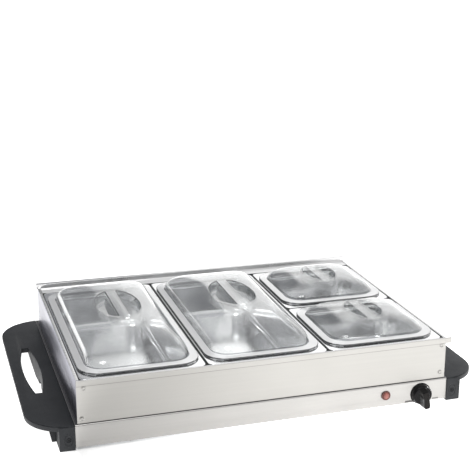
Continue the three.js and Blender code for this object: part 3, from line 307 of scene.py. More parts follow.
def moulded_plastic(name, colour, roughness, grain, strength, wear=0.25, groove=None, shine=0.5):
    """Moulded plastic with a spark-eroded grain and lightly rubbed patches."""
    grain_depth = 0.12 * MM
    groove_depth = 0.9 * MM
    material, tree, shader = start_material(name)
    shader.inputs["Specular IOR Level"].default_value = shine
    pattern = object_pattern(tree)
    pores = add_node(tree, "ShaderNodeTexVoronoi", Scale=grain)
    tree.links.new(pattern, pores.inputs["Vector"])
    soft = noise(tree, pattern, grain * 0.5, 4.0, 0.6)
    rubbed = noise(tree, pattern, 22.0, 4.0, 0.6)
    lighter = tuple(min(1.0, channel * 1.35 + 0.004) for channel in colour)
    tint = blend_colours(tree, spread(tree, rubbed, 0.0, wear, 0.4, 0.75), colour, lighter)
    tree.links.new(tint, shader.inputs["Base Color"])
    tree.links.new(spread(tree, rubbed, roughness + 0.05, roughness - 0.07), shader.inputs["Roughness"])
    height = sums(tree, "ADD", pores.outputs["Distance"], soft)
    normal = add_bump(tree, shader, height, strength, grain_depth)
    if groove is not None:
        add_bump(tree, shader, oval_grooves(tree, *groove), 1.0, groove_depth, normal)
    return material


def slant_share(tree, normal, face_on, power):
    """Share of light that a smooth surface mirrors: face_on when seen straight, rising to 1 at a slant."""
    slant = tree.nodes.new("ShaderNodeLayerWeight")
    slant.inputs["Blend"].default_value = 0.5
    if normal is not None:
        tree.links.new(normal, slant.inputs["Normal"])
    rise = sums(tree, "POWER", slant.outputs["Facing"], power)
    return sums(tree, "ADD", sums(tree, "MULTIPLY", rise, 1.0 - face_on), face_on)


def clear_plastic(name, tint, haze, straight, slant_shade, face_on):
    """Thin clear moulded plastic. It shows what is behind it, mirrors more at a slant, and its outlines
    are darker, a painted shade standing in for the dark surroundings that real plastic bends into view there."""
    ripple_depth = 0.8 * MM
    outline_power = 5.0
    mirror_power = 3.7
    material, tree, shader = start_material(name)
    shader.inputs["Base Color"].default_value = (*tint, 1.0)
    shader.inputs["Roughness"].default_value = 0.12
    ripple = noise(tree, object_pattern(tree), 9.0, 1.0, 0.3)
    normal = add_bump(tree, shader, ripple, 0.06, ripple_depth)
    through = tree.nodes.new("ShaderNodeBsdfTransparent")
    # The see-through colour darkens towards the outlines as painted shade.
    edge = slant_share(tree, None, 0.0, outline_power)
    tree.links.new(blend_colours(tree, edge, straight, slant_shade), through.inputs["Color"])
    mirror = tree.nodes.new("ShaderNodeBsdfGlossy")
    mirror.inputs["Color"].default_value = (1.0, 1.0, 1.0, 1.0)
    wiped = noise(tree, object_pattern(tree, (40.0, 260.0, 40.0), (0.0, 0.0, 0.7)), 1.0, 4.0, 0.6)
    tree.links.new(spread(tree, wiped, 0.0, 0.035), mirror.inputs["Roughness"])
    tree.links.new(normal, mirror.inputs["Normal"])
    body = tree.nodes.new("ShaderNodeMixShader")
    body.inputs[0].default_value = haze
    tree.links.new(through.outputs["BSDF"], body.inputs[1])
    tree.links.new(shader.outputs["BSDF"], body.inputs[2])
    whole = tree.nodes.new("ShaderNodeMixShader")
    tree.links.new(slant_share(tree, normal, face_on, mirror_power), whole.inputs[0])
    tree.links.new(body.outputs["Shader"], whole.inputs[1])
    tree.links.new(mirror.outputs["BSDF"], whole.inputs[2])
    tree.links.new(whole.outputs["Shader"], tree.nodes["Material Output"].inputs["Surface"])
    return material


def lamp_plastic(name, colour, deep, centre, flute):
    """Translucent lamp lens: fine upright flutes with a paler band where the light sits behind."""
    band_half = 4.2 * MM
    flute_depth = 0.3 * MM
    material, tree, shader = start_material(name)
    pattern = object_pattern(tree, offset=(-centre[0], 0.0, -centre[2]))
    flutes = tree.nodes.new("ShaderNodeTexWave")
    flutes.bands_direction = "X"
    flutes.inputs["Scale"].default_value = flute
    tree.links.new(pattern, flutes.inputs["Vector"])
    side = sums(tree, "ABSOLUTE", apart(tree, pattern)["X"])
    tint = blend_colours(tree, spread(tree, side, 1.0, 0.0, 0.0, band_half), deep, colour)
    furrow = spread(tree, flutes.outputs["Fac"], 0.0, 0.3, 0.0, 1.0)
    tint = blend_colours(tree, furrow, tint, shaded(deep, 0.8))
    tree.links.new(tint, shader.inputs["Base Color"])
    tree.links.new(tint, shader.inputs["Emission Color"])
    shader.inputs["Emission Strength"].default_value = 0.03
    shader.inputs["Roughness"].default_value = 0.22
    shader.inputs["Coat Weight"].default_value = 0.15
    add_bump(tree, shader, flutes.outputs["Fac"], 0.35, flute_depth)
    return material


def printed_ink(name, colour):
    material, tree, shader = start_material(name)
    worn = noise(tree, object_pattern(tree), 900.0, 3.0, 0.6)
    tint = blend_colours(tree, spread(tree, worn, 0.0, 0.5), colour, shaded(colour, 1.6))
    tree.links.new(tint, shader.inputs["Base Color"])
    tree.links.new(spread(tree, worn, 0.45, 0.65), shader.inputs["Roughness"])
    return material


# Shapes

def finish_piece(mesh_edit, name, materials, body, nodes=(), sharp=35.0):
    """Turns a bmesh into a piece that rides on a body and stands for the given solid pieces."""
    mesh = bpy.data.meshes.new(name)
    mesh_edit.to_mesh(mesh)
    mesh_edit.free()
    for material in materials:
        mesh.materials.append(material)
    mesh.shade_smooth()
    mesh.set_sharp_from_angle(angle=math.radians(sharp))
    piece = bpy.data.objects.new(name, mesh)
    bpy.context.scene.collection.objects.link(piece)
    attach(piece, body)
    if nodes:
        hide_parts(*nodes)
    return piece


def body_of_node(node):
    for body, members in frame["record"]["behaviour"]["bodies"].items():
        if node in members:
            return body
    raise KeyError(node)


def close_up(mesh_edit):
    """Merges seams and poles and points every face outwards."""
    bmesh.ops.remove_doubles(mesh_edit, verts=mesh_edit.verts[:], dist=MERGE_GAP)
    bmesh.ops.recalc_face_normals(mesh_edit, faces=mesh_edit.faces[:])


def sharp_edges(mesh_edit, angle, near=None):
    found = []
    for edge in mesh_edit.edges:
        if len(edge.link_faces) != 2 or edge.calc_face_angle(0.0) < math.radians(angle):
            continue
        if near is None or near(edge):
            found.append(edge)
    return found


def ease(mesh_edit, edges, width, segments=2):
    """Rounds edges over and gives back the new faces."""
    made = bmesh.ops.bevel(
        mesh_edit,
        geom=edges,
        offset=width,
        offset_type="OFFSET",
        segments=segments,
        profile=0.5,
        affect="EDGES",
        clamp_overlap=True,
        material=-1,
    )
    return made["faces"]


def softened(node, name, materials, width, segments=2, angle=28.0, sharp=35.0, choose=None):
    """A copy of a solid piece with its flats rejoined and its hard edges rounded over. choose picks each
    face's material."""
    flat_angle = math.radians(0.6)
    edit = bmesh.new()
    edit.from_mesh(frame["nodes"][node].data)
    bmesh.ops.remove_doubles(edit, verts=edit.verts[:], dist=MERGE_GAP)
    bmesh.ops.dissolve_limit(edit, angle_limit=flat_angle, verts=edit.verts[:], edges=edit.edges[:])
    ease(edit, sharp_edges(edit, angle), width, segments)
    if choose is not None:
        edit.normal_update()
        for face in edit.faces:
            face.material_index = choose(face)
    return finish_piece(edit, name, materials, body_of_node(node), [node], sharp)


def turned(edit, profile, steps, place):
    """Spins a profile of (radius, height) about the upright axis, then puts it in place."""
    verts = [edit.verts.new((radius, 0.0, height)) for radius, height in profile]
    edges = [edit.edges.new(pair) for pair in zip(verts, verts[1:])]
    bmesh.ops.spin(
        edit,
        geom=verts + edges,
        cent=(0.0, 0.0, 0.0),
        axis=(0.0, 0.0, 1.0),
        angle=math.tau,
        steps=steps,
        use_merge=True,
    )
    close_up(edit)
    bmesh.ops.transform(edit, matrix=place, verts=edit.verts[:])


def cross_recess(edit, face, centre, arm, half_width, depth):
    """Sinks a cross into the flat end face of a screw that points up."""
    region = [face, *face.edges, *face.verts]
    for axis in ((1.0, 0.0, 0.0), (0.0, 1.0, 0.0)):
        for reach in (-arm, -half_width, half_width, arm):
            cut = bmesh.ops.bisect_plane(
                edit,
                geom=region,
                dist=CUT_GAP,
                plane_co=centre + Vector(axis) * reach,
                plane_no=axis,
            )
            region = cut["geom"]
    sunk = []
    for piece in region:
        if not isinstance(piece, bmesh.types.BMFace):
            continue
        across = piece.calc_center_median() - centre
        near, far = sorted((abs(across.x), abs(across.y)))
        if near < half_width and far < arm:
            sunk.append(piece)
    made = bmesh.ops.extrude_face_region(edit, geom=sunk)
    moved = [g for g in made["geom"] if isinstance(g, bmesh.types.BMVert)]
    bmesh.ops.translate(edit, vec=(0.0, 0.0, -depth), verts=moved)
    bmesh.ops.delete(edit, geom=sunk, context="FACES")


def ring_guide(side_steps, end_steps, corner_steps):
    """One entry for each vertex of a rounded rectangle, anticlockwise from its right side: the shares of the
    straight half sides at its corner centre, and the direction out from that centre."""
    guide = []
    for quarter in range(4):
        straight = side_steps if quarter % 2 == 0 else end_steps
        entries = [(1.0, -1.0 + 2.0 * step / straight, 1.0, 0.0) for step in range(1, straight)]
        entries += [(1.0, 1.0, math.cos(angle), math.sin(angle)) for angle in quarter_turn(corner_steps)]
        for across, along, out_x, out_y in entries:
            for _ in range(quarter):
                across, along = -along, across
                out_x, out_y = -out_y, out_x
            guide.append((across, along, out_x, out_y))
    return guide


def rounded(half_x, half_y, radius, height):
    """A level of a stack of rings: a rounded rectangle at a height."""
    def place(entry):
        across, along, out_x, out_y = entry
        x = (half_x - radius) * across + radius * out_x
        y = (half_y - radius) * along + radius * out_y
        return Vector((x, y, height))
    return place


def stack_rings(edit, guide, levels):
    """Draws one closed ring and extrudes it through every level. Gives back its first and last rings."""
    made = bmesh.ops.create_circle(edit, cap_ends=False, segments=len(guide), radius=1.0)
    ring = sorted(made["verts"], key=lambda vert: math.atan2(vert.co.y, vert.co.x) % math.tau)
    first = ring
    for number, level in enumerate(levels):
        if number:
            around = [edit.edges.get(pair) for pair in zip(ring, ring[1:] + ring[:1])]
            grown = bmesh.ops.extrude_edge_only(edit, edges=around)
            copies = {g for g in grown["geom"] if isinstance(g, bmesh.types.BMVert)}
            ring = [next(e.other_vert(v) for e in v.link_edges if e.other_vert(v) in copies) for v in ring]
        for vert, entry in zip(ring, guide):
            vert.co = level(entry)
    return first, ring


def cap(edit, ring):
    around = [edit.edges.get(pair) for pair in zip(ring, ring[1:] + ring[:1])]
    return bmesh.ops.contextual_create(edit, geom=around)["faces"][0]


# Sizes and colours that can be changed

class LidSettings(bpy.types.PropertyGroup):
    wall: bpy.props.FloatProperty(
        name="Wall", description="Thickness of the moulded dome", default=0.0022, unit="LENGTH", min=0.0005)
    edge: bpy.props.FloatProperty(
        name="Edge rounding", description="Radius of the flange's outer edge", default=0.00115, unit="LENGTH")
    bar: bpy.props.FloatProperty(
        name="Grip bar", description="Width of the bar across the finger recess", default=0.016,
        unit="LENGTH")
    rim: bpy.props.FloatProperty(
        name="Recess edge", description="Rounding of the recess's edges", default=0.0009, unit="LENGTH")
    dome_steps: bpy.props.IntProperty(
        name="Dome steps", description="Rings from the dome's foot to its crown", default=14, min=4)
    tint: bpy.props.FloatVectorProperty(
        name="Tint", description="Colour of the plastic's haze and edges", default=(0.93, 0.95, 0.96),
        subtype="COLOR", min=0.0, max=1.0)
    haze: bpy.props.FloatProperty(
        name="Haze", description="How milky the plastic looks", default=0.012, min=0.0, max=1.0)


class PanSettings(bpy.types.PropertyGroup):
    sheet: bpy.props.FloatProperty(
        name="Sheet", description="Thickness of the pressed sheet", default=0.0009, unit="LENGTH")
    bead: bpy.props.FloatProperty(
        name="Bead", description="Half width of the bead round the opening", default=0.0016, unit="LENGTH")
    steel: bpy.props.FloatVectorProperty(
        name="Steel", description="Colour of the pressed steel", default=(0.84, 0.845, 0.85), subtype="COLOR",
        min=0.0, max=1.0)
    roughness: bpy.props.FloatProperty(
        name="Roughness", description="How dull the pressed steel is", default=0.12, min=0.0, max=1.0)


class FrameSettings(bpy.types.PropertyGroup):
    bend: bpy.props.FloatProperty(
        name="Edge bend", description="Rounding of the sheet's edges", default=0.00042, unit="LENGTH")
    front_steel: bpy.props.FloatVectorProperty(
        name="Front steel", description="Colour of the brushed front", default=(0.435, 0.425, 0.405),
        subtype="COLOR", min=0.0, max=1.0)
    # The side walls get a darker, bluer copy of the brushed steel, painted shade for walls that face away
    # from the light.
    side_shade_steel: bpy.props.FloatVectorProperty(
        name="Side steel", description="Colour of the side walls", default=(0.24, 0.24, 0.28),
        subtype="COLOR", min=0.0, max=1.0)
    # The rim and the rear rail get a lighter copy of the brushed steel, painted highlight where they face up.
    rim_highlight_steel: bpy.props.FloatVectorProperty(
        name="Rim steel", description="Colour of the rim and the rear rail", default=(0.74, 0.74, 0.74),
        subtype="COLOR", min=0.0, max=1.0)
    # The ledges and dividers get a near-black steel, painted shade in the gaps between and under the pans.
    ledge_shade_steel: bpy.props.FloatVectorProperty(
        name="Ledge steel", description="Colour of the dull ledges under the pans",
        default=(0.05, 0.052, 0.05), subtype="COLOR", min=0.0, max=1.0)
    roughness: bpy.props.FloatProperty(
        name="Roughness", description="How dull the brushed steel is", default=0.4, min=0.0, max=1.0)
    weld: bpy.props.FloatProperty(
        name="Weld inset", description="Spot welds in from the front's ends", default=0.0095, unit="LENGTH")


class BaseSettings(bpy.types.PropertyGroup):
    bend: bpy.props.FloatProperty(
        name="Edge bend", description="Rounding of the band's bends", default=0.0007, unit="LENGTH")
    steel: bpy.props.FloatVectorProperty(
        name="Band steel", description="Colour of the band", default=(0.45, 0.44, 0.425),
        subtype="COLOR", min=0.0, max=1.0)
    # The deck's dark steel is painted shade for the seam line between the band and the frame.
    deck: bpy.props.FloatVectorProperty(
        name="Deck steel", description="Colour of the deck", default=(0.11, 0.11, 0.115),
        subtype="COLOR", min=0.0, max=1.0)
    zinc: bpy.props.FloatVectorProperty(
        name="Plated steel", description="Colour of the cover and the screws", default=(0.6, 0.62, 0.64),
        subtype="COLOR", min=0.0, max=1.0)
    screw: bpy.props.FloatVectorProperty(
        name="Screws", description="Colour of the blackened screws", default=(0.035, 0.036, 0.038),
        subtype="COLOR", min=0.0, max=1.0)
    screw_head: bpy.props.FloatProperty(
        name="Screw recess", description="Depth of the cross in a screw's head", default=0.0009,
        unit="LENGTH")


class HandleSettings(bpy.types.PropertyGroup):
    edge: bpy.props.FloatProperty(
        name="Edge", description="Rounding of the moulded edges", default=0.0009, unit="LENGTH")
    plastic: bpy.props.FloatVectorProperty(
        name="Plastic", description="Colour of the handles", default=(0.015, 0.0165, 0.019), subtype="COLOR",
        min=0.0, max=1.0)
    rubber: bpy.props.FloatVectorProperty(
        name="Rubber", description="Colour of the feet", default=(0.018, 0.018, 0.019),
        subtype="COLOR", min=0.0, max=1.0)


class ControlSettings(bpy.types.PropertyGroup):
    pointer_turn: bpy.props.FloatProperty(
        name="Pointer", description="Turn of the pointer from straight down at rest",
        default=math.radians(8.0), subtype="ANGLE")
    plastic: bpy.props.FloatVectorProperty(
        name="Knob", description="Colour of the knob", default=(0.004, 0.0038, 0.0042), subtype="COLOR",
        min=0.0, max=1.0)
    # The grip face's lighter, warmer colour is painted light on the bar's front face.
    face: bpy.props.FloatVectorProperty(
        name="Grip face", description="Colour of the grip's front face", default=(0.012, 0.0105, 0.01),
        subtype="COLOR", min=0.0, max=1.0)
    lens: bpy.props.FloatVectorProperty(
        name="Lens", description="Colour of the lamp's lens", default=(0.36, 0.11, 0.085), subtype="COLOR",
        min=0.0, max=1.0)
    ink: bpy.props.FloatVectorProperty(
        name="Ink", description="Colour of the printed marks", default=(0.02, 0.018, 0.017), subtype="COLOR",
        min=0.0, max=1.0)


class StageSettings(bpy.types.PropertyGroup):
    floor: bpy.props.FloatVectorProperty(
        name="Floor", description="Colour of the floor", default=(0.93, 0.93, 0.925), subtype="COLOR",
        min=0.0, max=1.0)
    lens: bpy.props.FloatProperty(
        name="Lens", description="Focal length in millimetres", default=83.5, min=10.0)
    camera: bpy.props.FloatVectorProperty(
        name="Camera", description="Where the camera stands", default=(-0.4344, -1.4344, 0.6425),
        subtype="TRANSLATION", unit="LENGTH")
    yaw: bpy.props.FloatProperty(
        name="Yaw", description="Camera's turn towards the right", default=math.radians(17.15),
        subtype="ANGLE")
    pitch: bpy.props.FloatProperty(
        name="Pitch", description="How far it looks down", default=math.radians(16.09), subtype="ANGLE")
    roll: bpy.props.FloatProperty(
        name="Roll", description="Its lean", default=math.radians(-0.15), subtype="ANGLE")
    light: bpy.props.FloatProperty(
        name="Light", description="Strength of the soft lights", default=1.0, min=0.0)
    horizon: bpy.props.FloatVectorProperty(
        name="Horizon", description="Light of the room round the horizon", default=(1.3, 1.3, 1.3),
        subtype="COLOR", min=0.0, max=4.0)
    horizon_left: bpy.props.FloatVectorProperty(
        name="Horizon at left", description="The same on the left, where the room is dim",
        default=(0.3, 0.305, 0.32), subtype="COLOR", min=0.0, max=4.0)
    overhead: bpy.props.FloatVectorProperty(
        name="Overhead", description="Light of the room from above", default=(1.0, 1.0, 1.01),
        subtype="COLOR", min=0.0, max=4.0)
    glow_left: bpy.props.FloatProperty(
        name="Floor glow left", description="Light that the floor sends up at the left end", default=0.1)
    glow_right: bpy.props.FloatProperty(
        name="Floor glow right", description="Light that it sends up from the middle on", default=1.3)


# Pans and lids

def pan_opening(name):
    """Half sizes of a pan's flange and of its opening."""
    flange = half_of(f"{name}_pan")
    side = 12 * MM
    end = 17.5 * MM
    return flange.x, flange.y, flange.x - side, flange.y - end


class DISH_OT_pans(bpy.types.Operator):
    """Builds the four pressed pans with their beads, draft and rounded floors"""

    bl_idname = "chafing_dish.build_pans"
    bl_label = "Pans"

    def execute(self, context):
        settings = context.scene.chafing_pans
        steel = pressed_steel("pan_steel", settings.steel, settings.roughness)
        for name in PANS:
            self.build(name, settings, steel)
        return {"FINISHED"}

    def build(self, name, settings, steel):
        flange_x, flange_y, open_x, open_y = pan_opening(name)
        low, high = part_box(f"{name}_pan")
        centre = middle_of(f"{name}_pan")
        seat = 0.25 * MM
        top = high.z - seat
        floor = low.z + settings.sheet
        corner = 24 * MM
        flange_corner = 8 * MM
        near_flange_corner = 8.5 * MM
        draft = 4.5 * MM
        wall_inset = 0.2 * MM
        fillet = 8 * MM
        floor_corner = 20 * MM
        shoulder = 1.6 * MM
        bead_start = shoulder + 0.4 * MM
        bead_end = bead_start + 2 * settings.bead
        bead_rise = 0.45 * MM
        turn_down = 0.6 * MM
        wall_steps = 5
        bead_steps = 8
        floor_rings = (18 * MM, 6 * MM)
        flange_shares = (0.35, 0.8)

        levels = []
        flat_x = open_x - draft - fillet
        flat_y = open_y - draft - fillet
        for inward in floor_rings:
            radius = floor_corner - fillet - inward * 0.4
            levels.append(rounded(flat_x - inward, flat_y - inward, radius, floor))
        for angle in quarter_turn(6):
            inward = fillet * (1.0 - math.sin(angle))
            height = floor + fillet * (1.0 - math.cos(angle))
            inset = draft + inward
            levels.append(rounded(open_x - inset, open_y - inset, floor_corner - inward, height))
        wall_low = floor + fillet
        wall_top = top - shoulder
        for step in range(1, wall_steps + 1):
            share = step / wall_steps
            height = wall_low + (wall_top - wall_low) * share
            inset = draft * (1.0 - share) + wall_inset
            radius = floor_corner + (corner - floor_corner) * share
            levels.append(rounded(open_x - inset, open_y - inset, radius, height))
        for angle in quarter_turn(5, 1):
            out = shoulder * (1.0 - math.cos(angle))
            height = wall_top + shoulder * math.sin(angle)
            levels.append(rounded(open_x + out, open_y + out, corner + out, height))
        for step in range(1, bead_steps + 1):
            share = step / bead_steps
            out = bead_start + 2 * settings.bead * share
            height = top + bead_rise * math.sin(math.pi * share)
            levels.append(rounded(open_x + out, open_y + out, corner + out, height))
        for share in flange_shares:
            x = (open_x + bead_end) * (1 - share) + flange_x * share
            y = (open_y + bead_end) * (1 - share) + flange_y * share
            radius = corner * (1 - share) + near_flange_corner * share
            levels.append(rounded(x, y, radius, top))
        for angle in quarter_turn(4):
            inset = turn_down * (1.0 - math.sin(angle))
            height = top - turn_down * (1.0 - math.cos(angle))
            levels.append(rounded(flange_x - inset, flange_y - inset, flange_corner - inset, height))

        edit = bmesh.new()
        first, _ = stack_rings(edit, ring_guide(18, 12, 9), levels)
        cap(edit, first)
        bmesh.ops.recalc_face_normals(edit, faces=edit.faces[:])
        upward = sum(face.normal.z * face.calc_area() for face in edit.faces)
        if upward < 0.0:
            bmesh.ops.reverse_faces(edit, faces=edit.faces[:])
        bmesh.ops.translate(edit, vec=(centre.x, centre.y, 0.0), verts=edit.verts[:])
        piece = finish_piece(
            edit, f"{name}_pan_pressing", [steel], f"{name}_pan_body", [f"{name}_pan"], 60.0)
        wall = piece.modifiers.new("Sheet", "SOLIDIFY")
        wall.thickness = settings.sheet
        wall.offset = -1.0
        wall.use_even_offset = True


class DISH_OT_lids(bpy.types.Operator):
    """Builds the four clear lids, each one wall with a rolled flange, a locating rib and a grip recess"""

    bl_idname = "chafing_dish.build_lids"
    bl_label = "Lids"

    LIP, BEND, FLANGE = 1, 2, 3
    BLENDS = (0.18, 0.42, 0.72, 1.0)
    GRIP_CLIMB = 0.78

    def execute(self, context):
        settings = context.scene.chafing_lids
        clear = (0.992, 0.995, 0.994)
        # The outline colour darkens the lids' outlines as painted shade.
        outline = (0.28, 0.3, 0.31)
        plastic = [
            clear_plastic("lid_plastic", settings.tint, settings.haze, clear, outline, 0.045),
            # The lip and bend copies are darker, painted shade for the dark lines along the flange's edge,
            # the dome's foot and the recess rims.
            clear_plastic("lid_lip_shade", settings.tint, 0.03, (0.16, 0.165, 0.17), (0.05, 0.05, 0.055), 0.1),
            clear_plastic("lid_bend_shade", settings.tint, 0.03, (0.5, 0.51, 0.52), (0.15, 0.15, 0.16), 0.1),
            # The flange copy is milky white, a painted highlight for the bright ring on each flange.
            clear_plastic("lid_flange_highlight", (1.0, 1.0, 1.0), 0.55, clear, outline, 0.1),
        ]
        for name in PANS:
            large = name in ("left", "middle")
            self.build(name, settings, plastic, large)
        return {"FINISHED"}

    def build(self, name, settings, plastic, large):
        _, _, open_x, open_y = pan_opening(name)
        low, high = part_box(f"{name}_lid")
        centre = middle_of(f"{name}_lid")
        half = half_of(f"{name}_lid")
        fit = 1.8 * MM
        foot_x = open_x - fit
        foot_y = open_y - fit
        rib_depth = 4 * MM
        thick = 2.4 * MM
        flange_low = low.z + rib_depth
        flange_top = flange_low + thick
        flange_corner = 30 * MM
        corner = 24 * MM
        fillet = 1.1 * MM
        rib_round = 0.5 * MM
        edge_steps = 8
        lip_shade_reach = 9 * MM
        under_top = 0.1 * MM
        near_top = 0.12 * MM
        crown = high.z
        shape = {
            "foot_x": foot_x,
            "foot_y": foot_y,
            "crown_x": 17 * MM,
            "crown_y": (45 if large else 20) * MM,
            "corner": corner,
            "crown_corner": 12 * MM,
            "base": flange_top,
            "rise": crown - flange_top,
        }
        grip_x = (31 if large else 24) * MM
        grip_y = (54 if large else 37) * MM
        depth = (12 if large else 10) * MM
        guide = ring_guide(20, 14, 9)

        wall = settings.wall
        bar = settings.bar / 2
        levels = [self.grip_ring(shape, grip_x, grip_y, 0.0, blend) for blend in reversed(self.BLENDS)]
        steps = settings.dome_steps
        dome_shares = [step / steps for step in range(steps - 2)]
        levels += [self.dome_ring(shape, share, 0.0) for share in reversed(dome_shares[1:])]
        for angle in quarter_turn(3):
            out = fillet * (1.0 - math.cos(angle))
            height = flange_top + fillet * (1.0 - math.sin(angle))
            levels.append(rounded(foot_x + out, foot_y + out, corner + out, height))
        for step in range(edge_steps + 1):
            angle = math.pi * step / edge_steps
            inset = settings.edge * (1.0 - math.sin(angle))
            height = (flange_top + flange_low) / 2 + thick / 2 * math.cos(angle)
            levels.append(rounded(half.x - inset, half.y - inset, flange_corner - inset, height))
        rib = (
            (0.0, flange_low),
            (0.0, low.z + rib_round),
            (rib_round, low.z),
            (wall - rib_round, low.z),
            (wall, low.z + rib_round),
            (wall, flange_low),
        )
        levels += [rounded(foot_x - inset, foot_y - inset, corner - inset, height) for inset, height in rib]
        levels += [self.dome_ring(shape, share, wall) for share in dome_shares]
        levels += [self.grip_ring(shape, grip_x, grip_y, wall, blend) for blend in self.BLENDS]

        edit = bmesh.new()
        outer, inner = stack_rings(edit, guide, levels)
        # Faces round the flange's lip and the dome's foot get the darker copies as painted shade, and the
        # flange's top gets the milky copy as painted highlight.
        for face in edit.faces:
            middle = face.calc_center_median()
            past_edge = max(abs(middle.x) - half.x, abs(middle.y) - half.y)
            if flange_low < middle.z < flange_top - under_top and past_edge > -lip_shade_reach:
                face.material_index = self.LIP
            elif flange_top < middle.z < flange_top + fillet:
                face.material_index = self.BEND
            elif abs(middle.z - flange_top) < near_top:
                face.material_index = self.FLANGE
        self.sink_grip(edit, cap(edit, outer), bar, crown - depth, settings.rim)
        self.sink_grip(edit, cap(edit, inner), bar - wall, crown - depth - wall, 0.0)
        bmesh.ops.recalc_face_normals(edit, faces=edit.faces[:])
        bmesh.ops.translate(edit, vec=(centre.x, centre.y, 0.0), verts=edit.verts[:])
        finish_piece(
            edit, f"{name}_lid_moulding", plastic, f"{name}_lid_body", [f"{name}_lid"], 40.0)

    def ring_size(self, shape, inward, wall):
        """Half sizes and corner radius of the dome, from its foot at 0 to its crown at 1."""
        half_x = shape["foot_x"] - wall - inward * (shape["foot_x"] - shape["crown_x"])
        half_y = shape["foot_y"] - wall - inward * (shape["foot_y"] - shape["crown_y"])
        radius = shape["corner"] - wall - inward * (shape["corner"] - shape["crown_corner"])
        return half_x, half_y, radius

    def dome_ring(self, shape, share, wall):
        angle = math.pi / 2 * share
        half_x, half_y, radius = self.ring_size(shape, 1.0 - math.cos(angle), wall)
        return rounded(half_x, half_y, radius, shape["base"] + (shape["rise"] - wall) * math.sin(angle))

    def dome_height(self, shape, x, y, wall):
        """Height of the dome over a point, found by halving."""
        halvings = 24
        low, high = 0.0, 1.0
        for _ in range(halvings):
            inward = (low + high) / 2
            half_x, half_y, radius = self.ring_size(shape, inward, wall)
            past_x = max(abs(x) - half_x + radius, 0.0)
            past_y = max(abs(y) - half_y + radius, 0.0)
            if math.hypot(past_x, past_y) <= radius:
                low = inward
            else:
                high = inward
        return shape["base"] + (shape["rise"] - wall) * math.sin(math.acos(1.0 - low))

    def grip_ring(self, shape, grip_x, grip_y, wall, blend):
        """A ring on the dome, part way from its rounded outline to the oval of the grip."""
        angle = math.pi / 2 * self.GRIP_CLIMB
        half_x, half_y, radius = self.ring_size(shape, 1.0 - math.cos(angle), wall)
        outline = rounded(half_x, half_y, radius, 0.0)
        guide_foot = rounded(shape["foot_x"], shape["foot_y"], shape["corner"], 0.0)

        def place(entry):
            foot = guide_foot(entry)
            turn = math.atan2(foot.y / shape["foot_y"], foot.x / shape["foot_x"])
            oval = Vector(((grip_x + wall) * math.cos(turn), (grip_y + wall) * math.sin(turn), 0.0))
            point = outline(entry).lerp(oval, blend)
            point.z = self.dome_height(shape, point.x, point.y, wall)
            return point
        return place

    def sink_grip(self, edit, top, bar, floor, rounding):
        """Splits the oval along both sides of the bar and sinks the two halves, smaller downwards."""
        shrink_x, shrink_y = 0.95, 0.96
        clear = 4 * MM
        region = [top, *top.edges, *top.verts]
        for side in (-1.0, 1.0):
            cut = bmesh.ops.bisect_plane(
                edit,
                geom=region,
                dist=CUT_GAP,
                plane_co=(side * bar, 0.0, 0.0),
                plane_no=(1.0, 0.0, 0.0),
            )
            region = cut["geom"]
        faces = [piece for piece in region if isinstance(piece, bmesh.types.BMFace)]
        for half in [face for face in faces if abs(face.calc_center_median().x) > bar]:
            made = bmesh.ops.extrude_discrete_faces(edit, faces=[half])
            sunk = made["faces"][0]
            middle = sunk.calc_center_median()
            for vert in sunk.verts:
                across = vert.co - middle
                vert.co.x = middle.x + across.x * shrink_x
                vert.co.y = middle.y + across.y * shrink_y
                vert.co.z = floor
            # The recess's rounded edges get the darker copies, as painted shade.
            if rounding:
                for face in ease(edit, list(sunk.edges), 2.4 * rounding, 4):
                    face.material_index = self.BEND
        if rounding:
            lip_shade_edges = sharp_edges(
                edit, 40.0, lambda edge: all(v.co.z > floor + clear and self.on_grip(v) for v in edge.verts))
            for face in ease(edit, lip_shade_edges, rounding, 3):
                face.material_index = self.LIP

    def on_grip(self, vert):
        """Whether a steep face of a recess meets here."""
        return any(abs(face.normal.z) < 0.3 and face.calc_area() > 0.0 for face in vert.link_faces)


# Lift-off frame

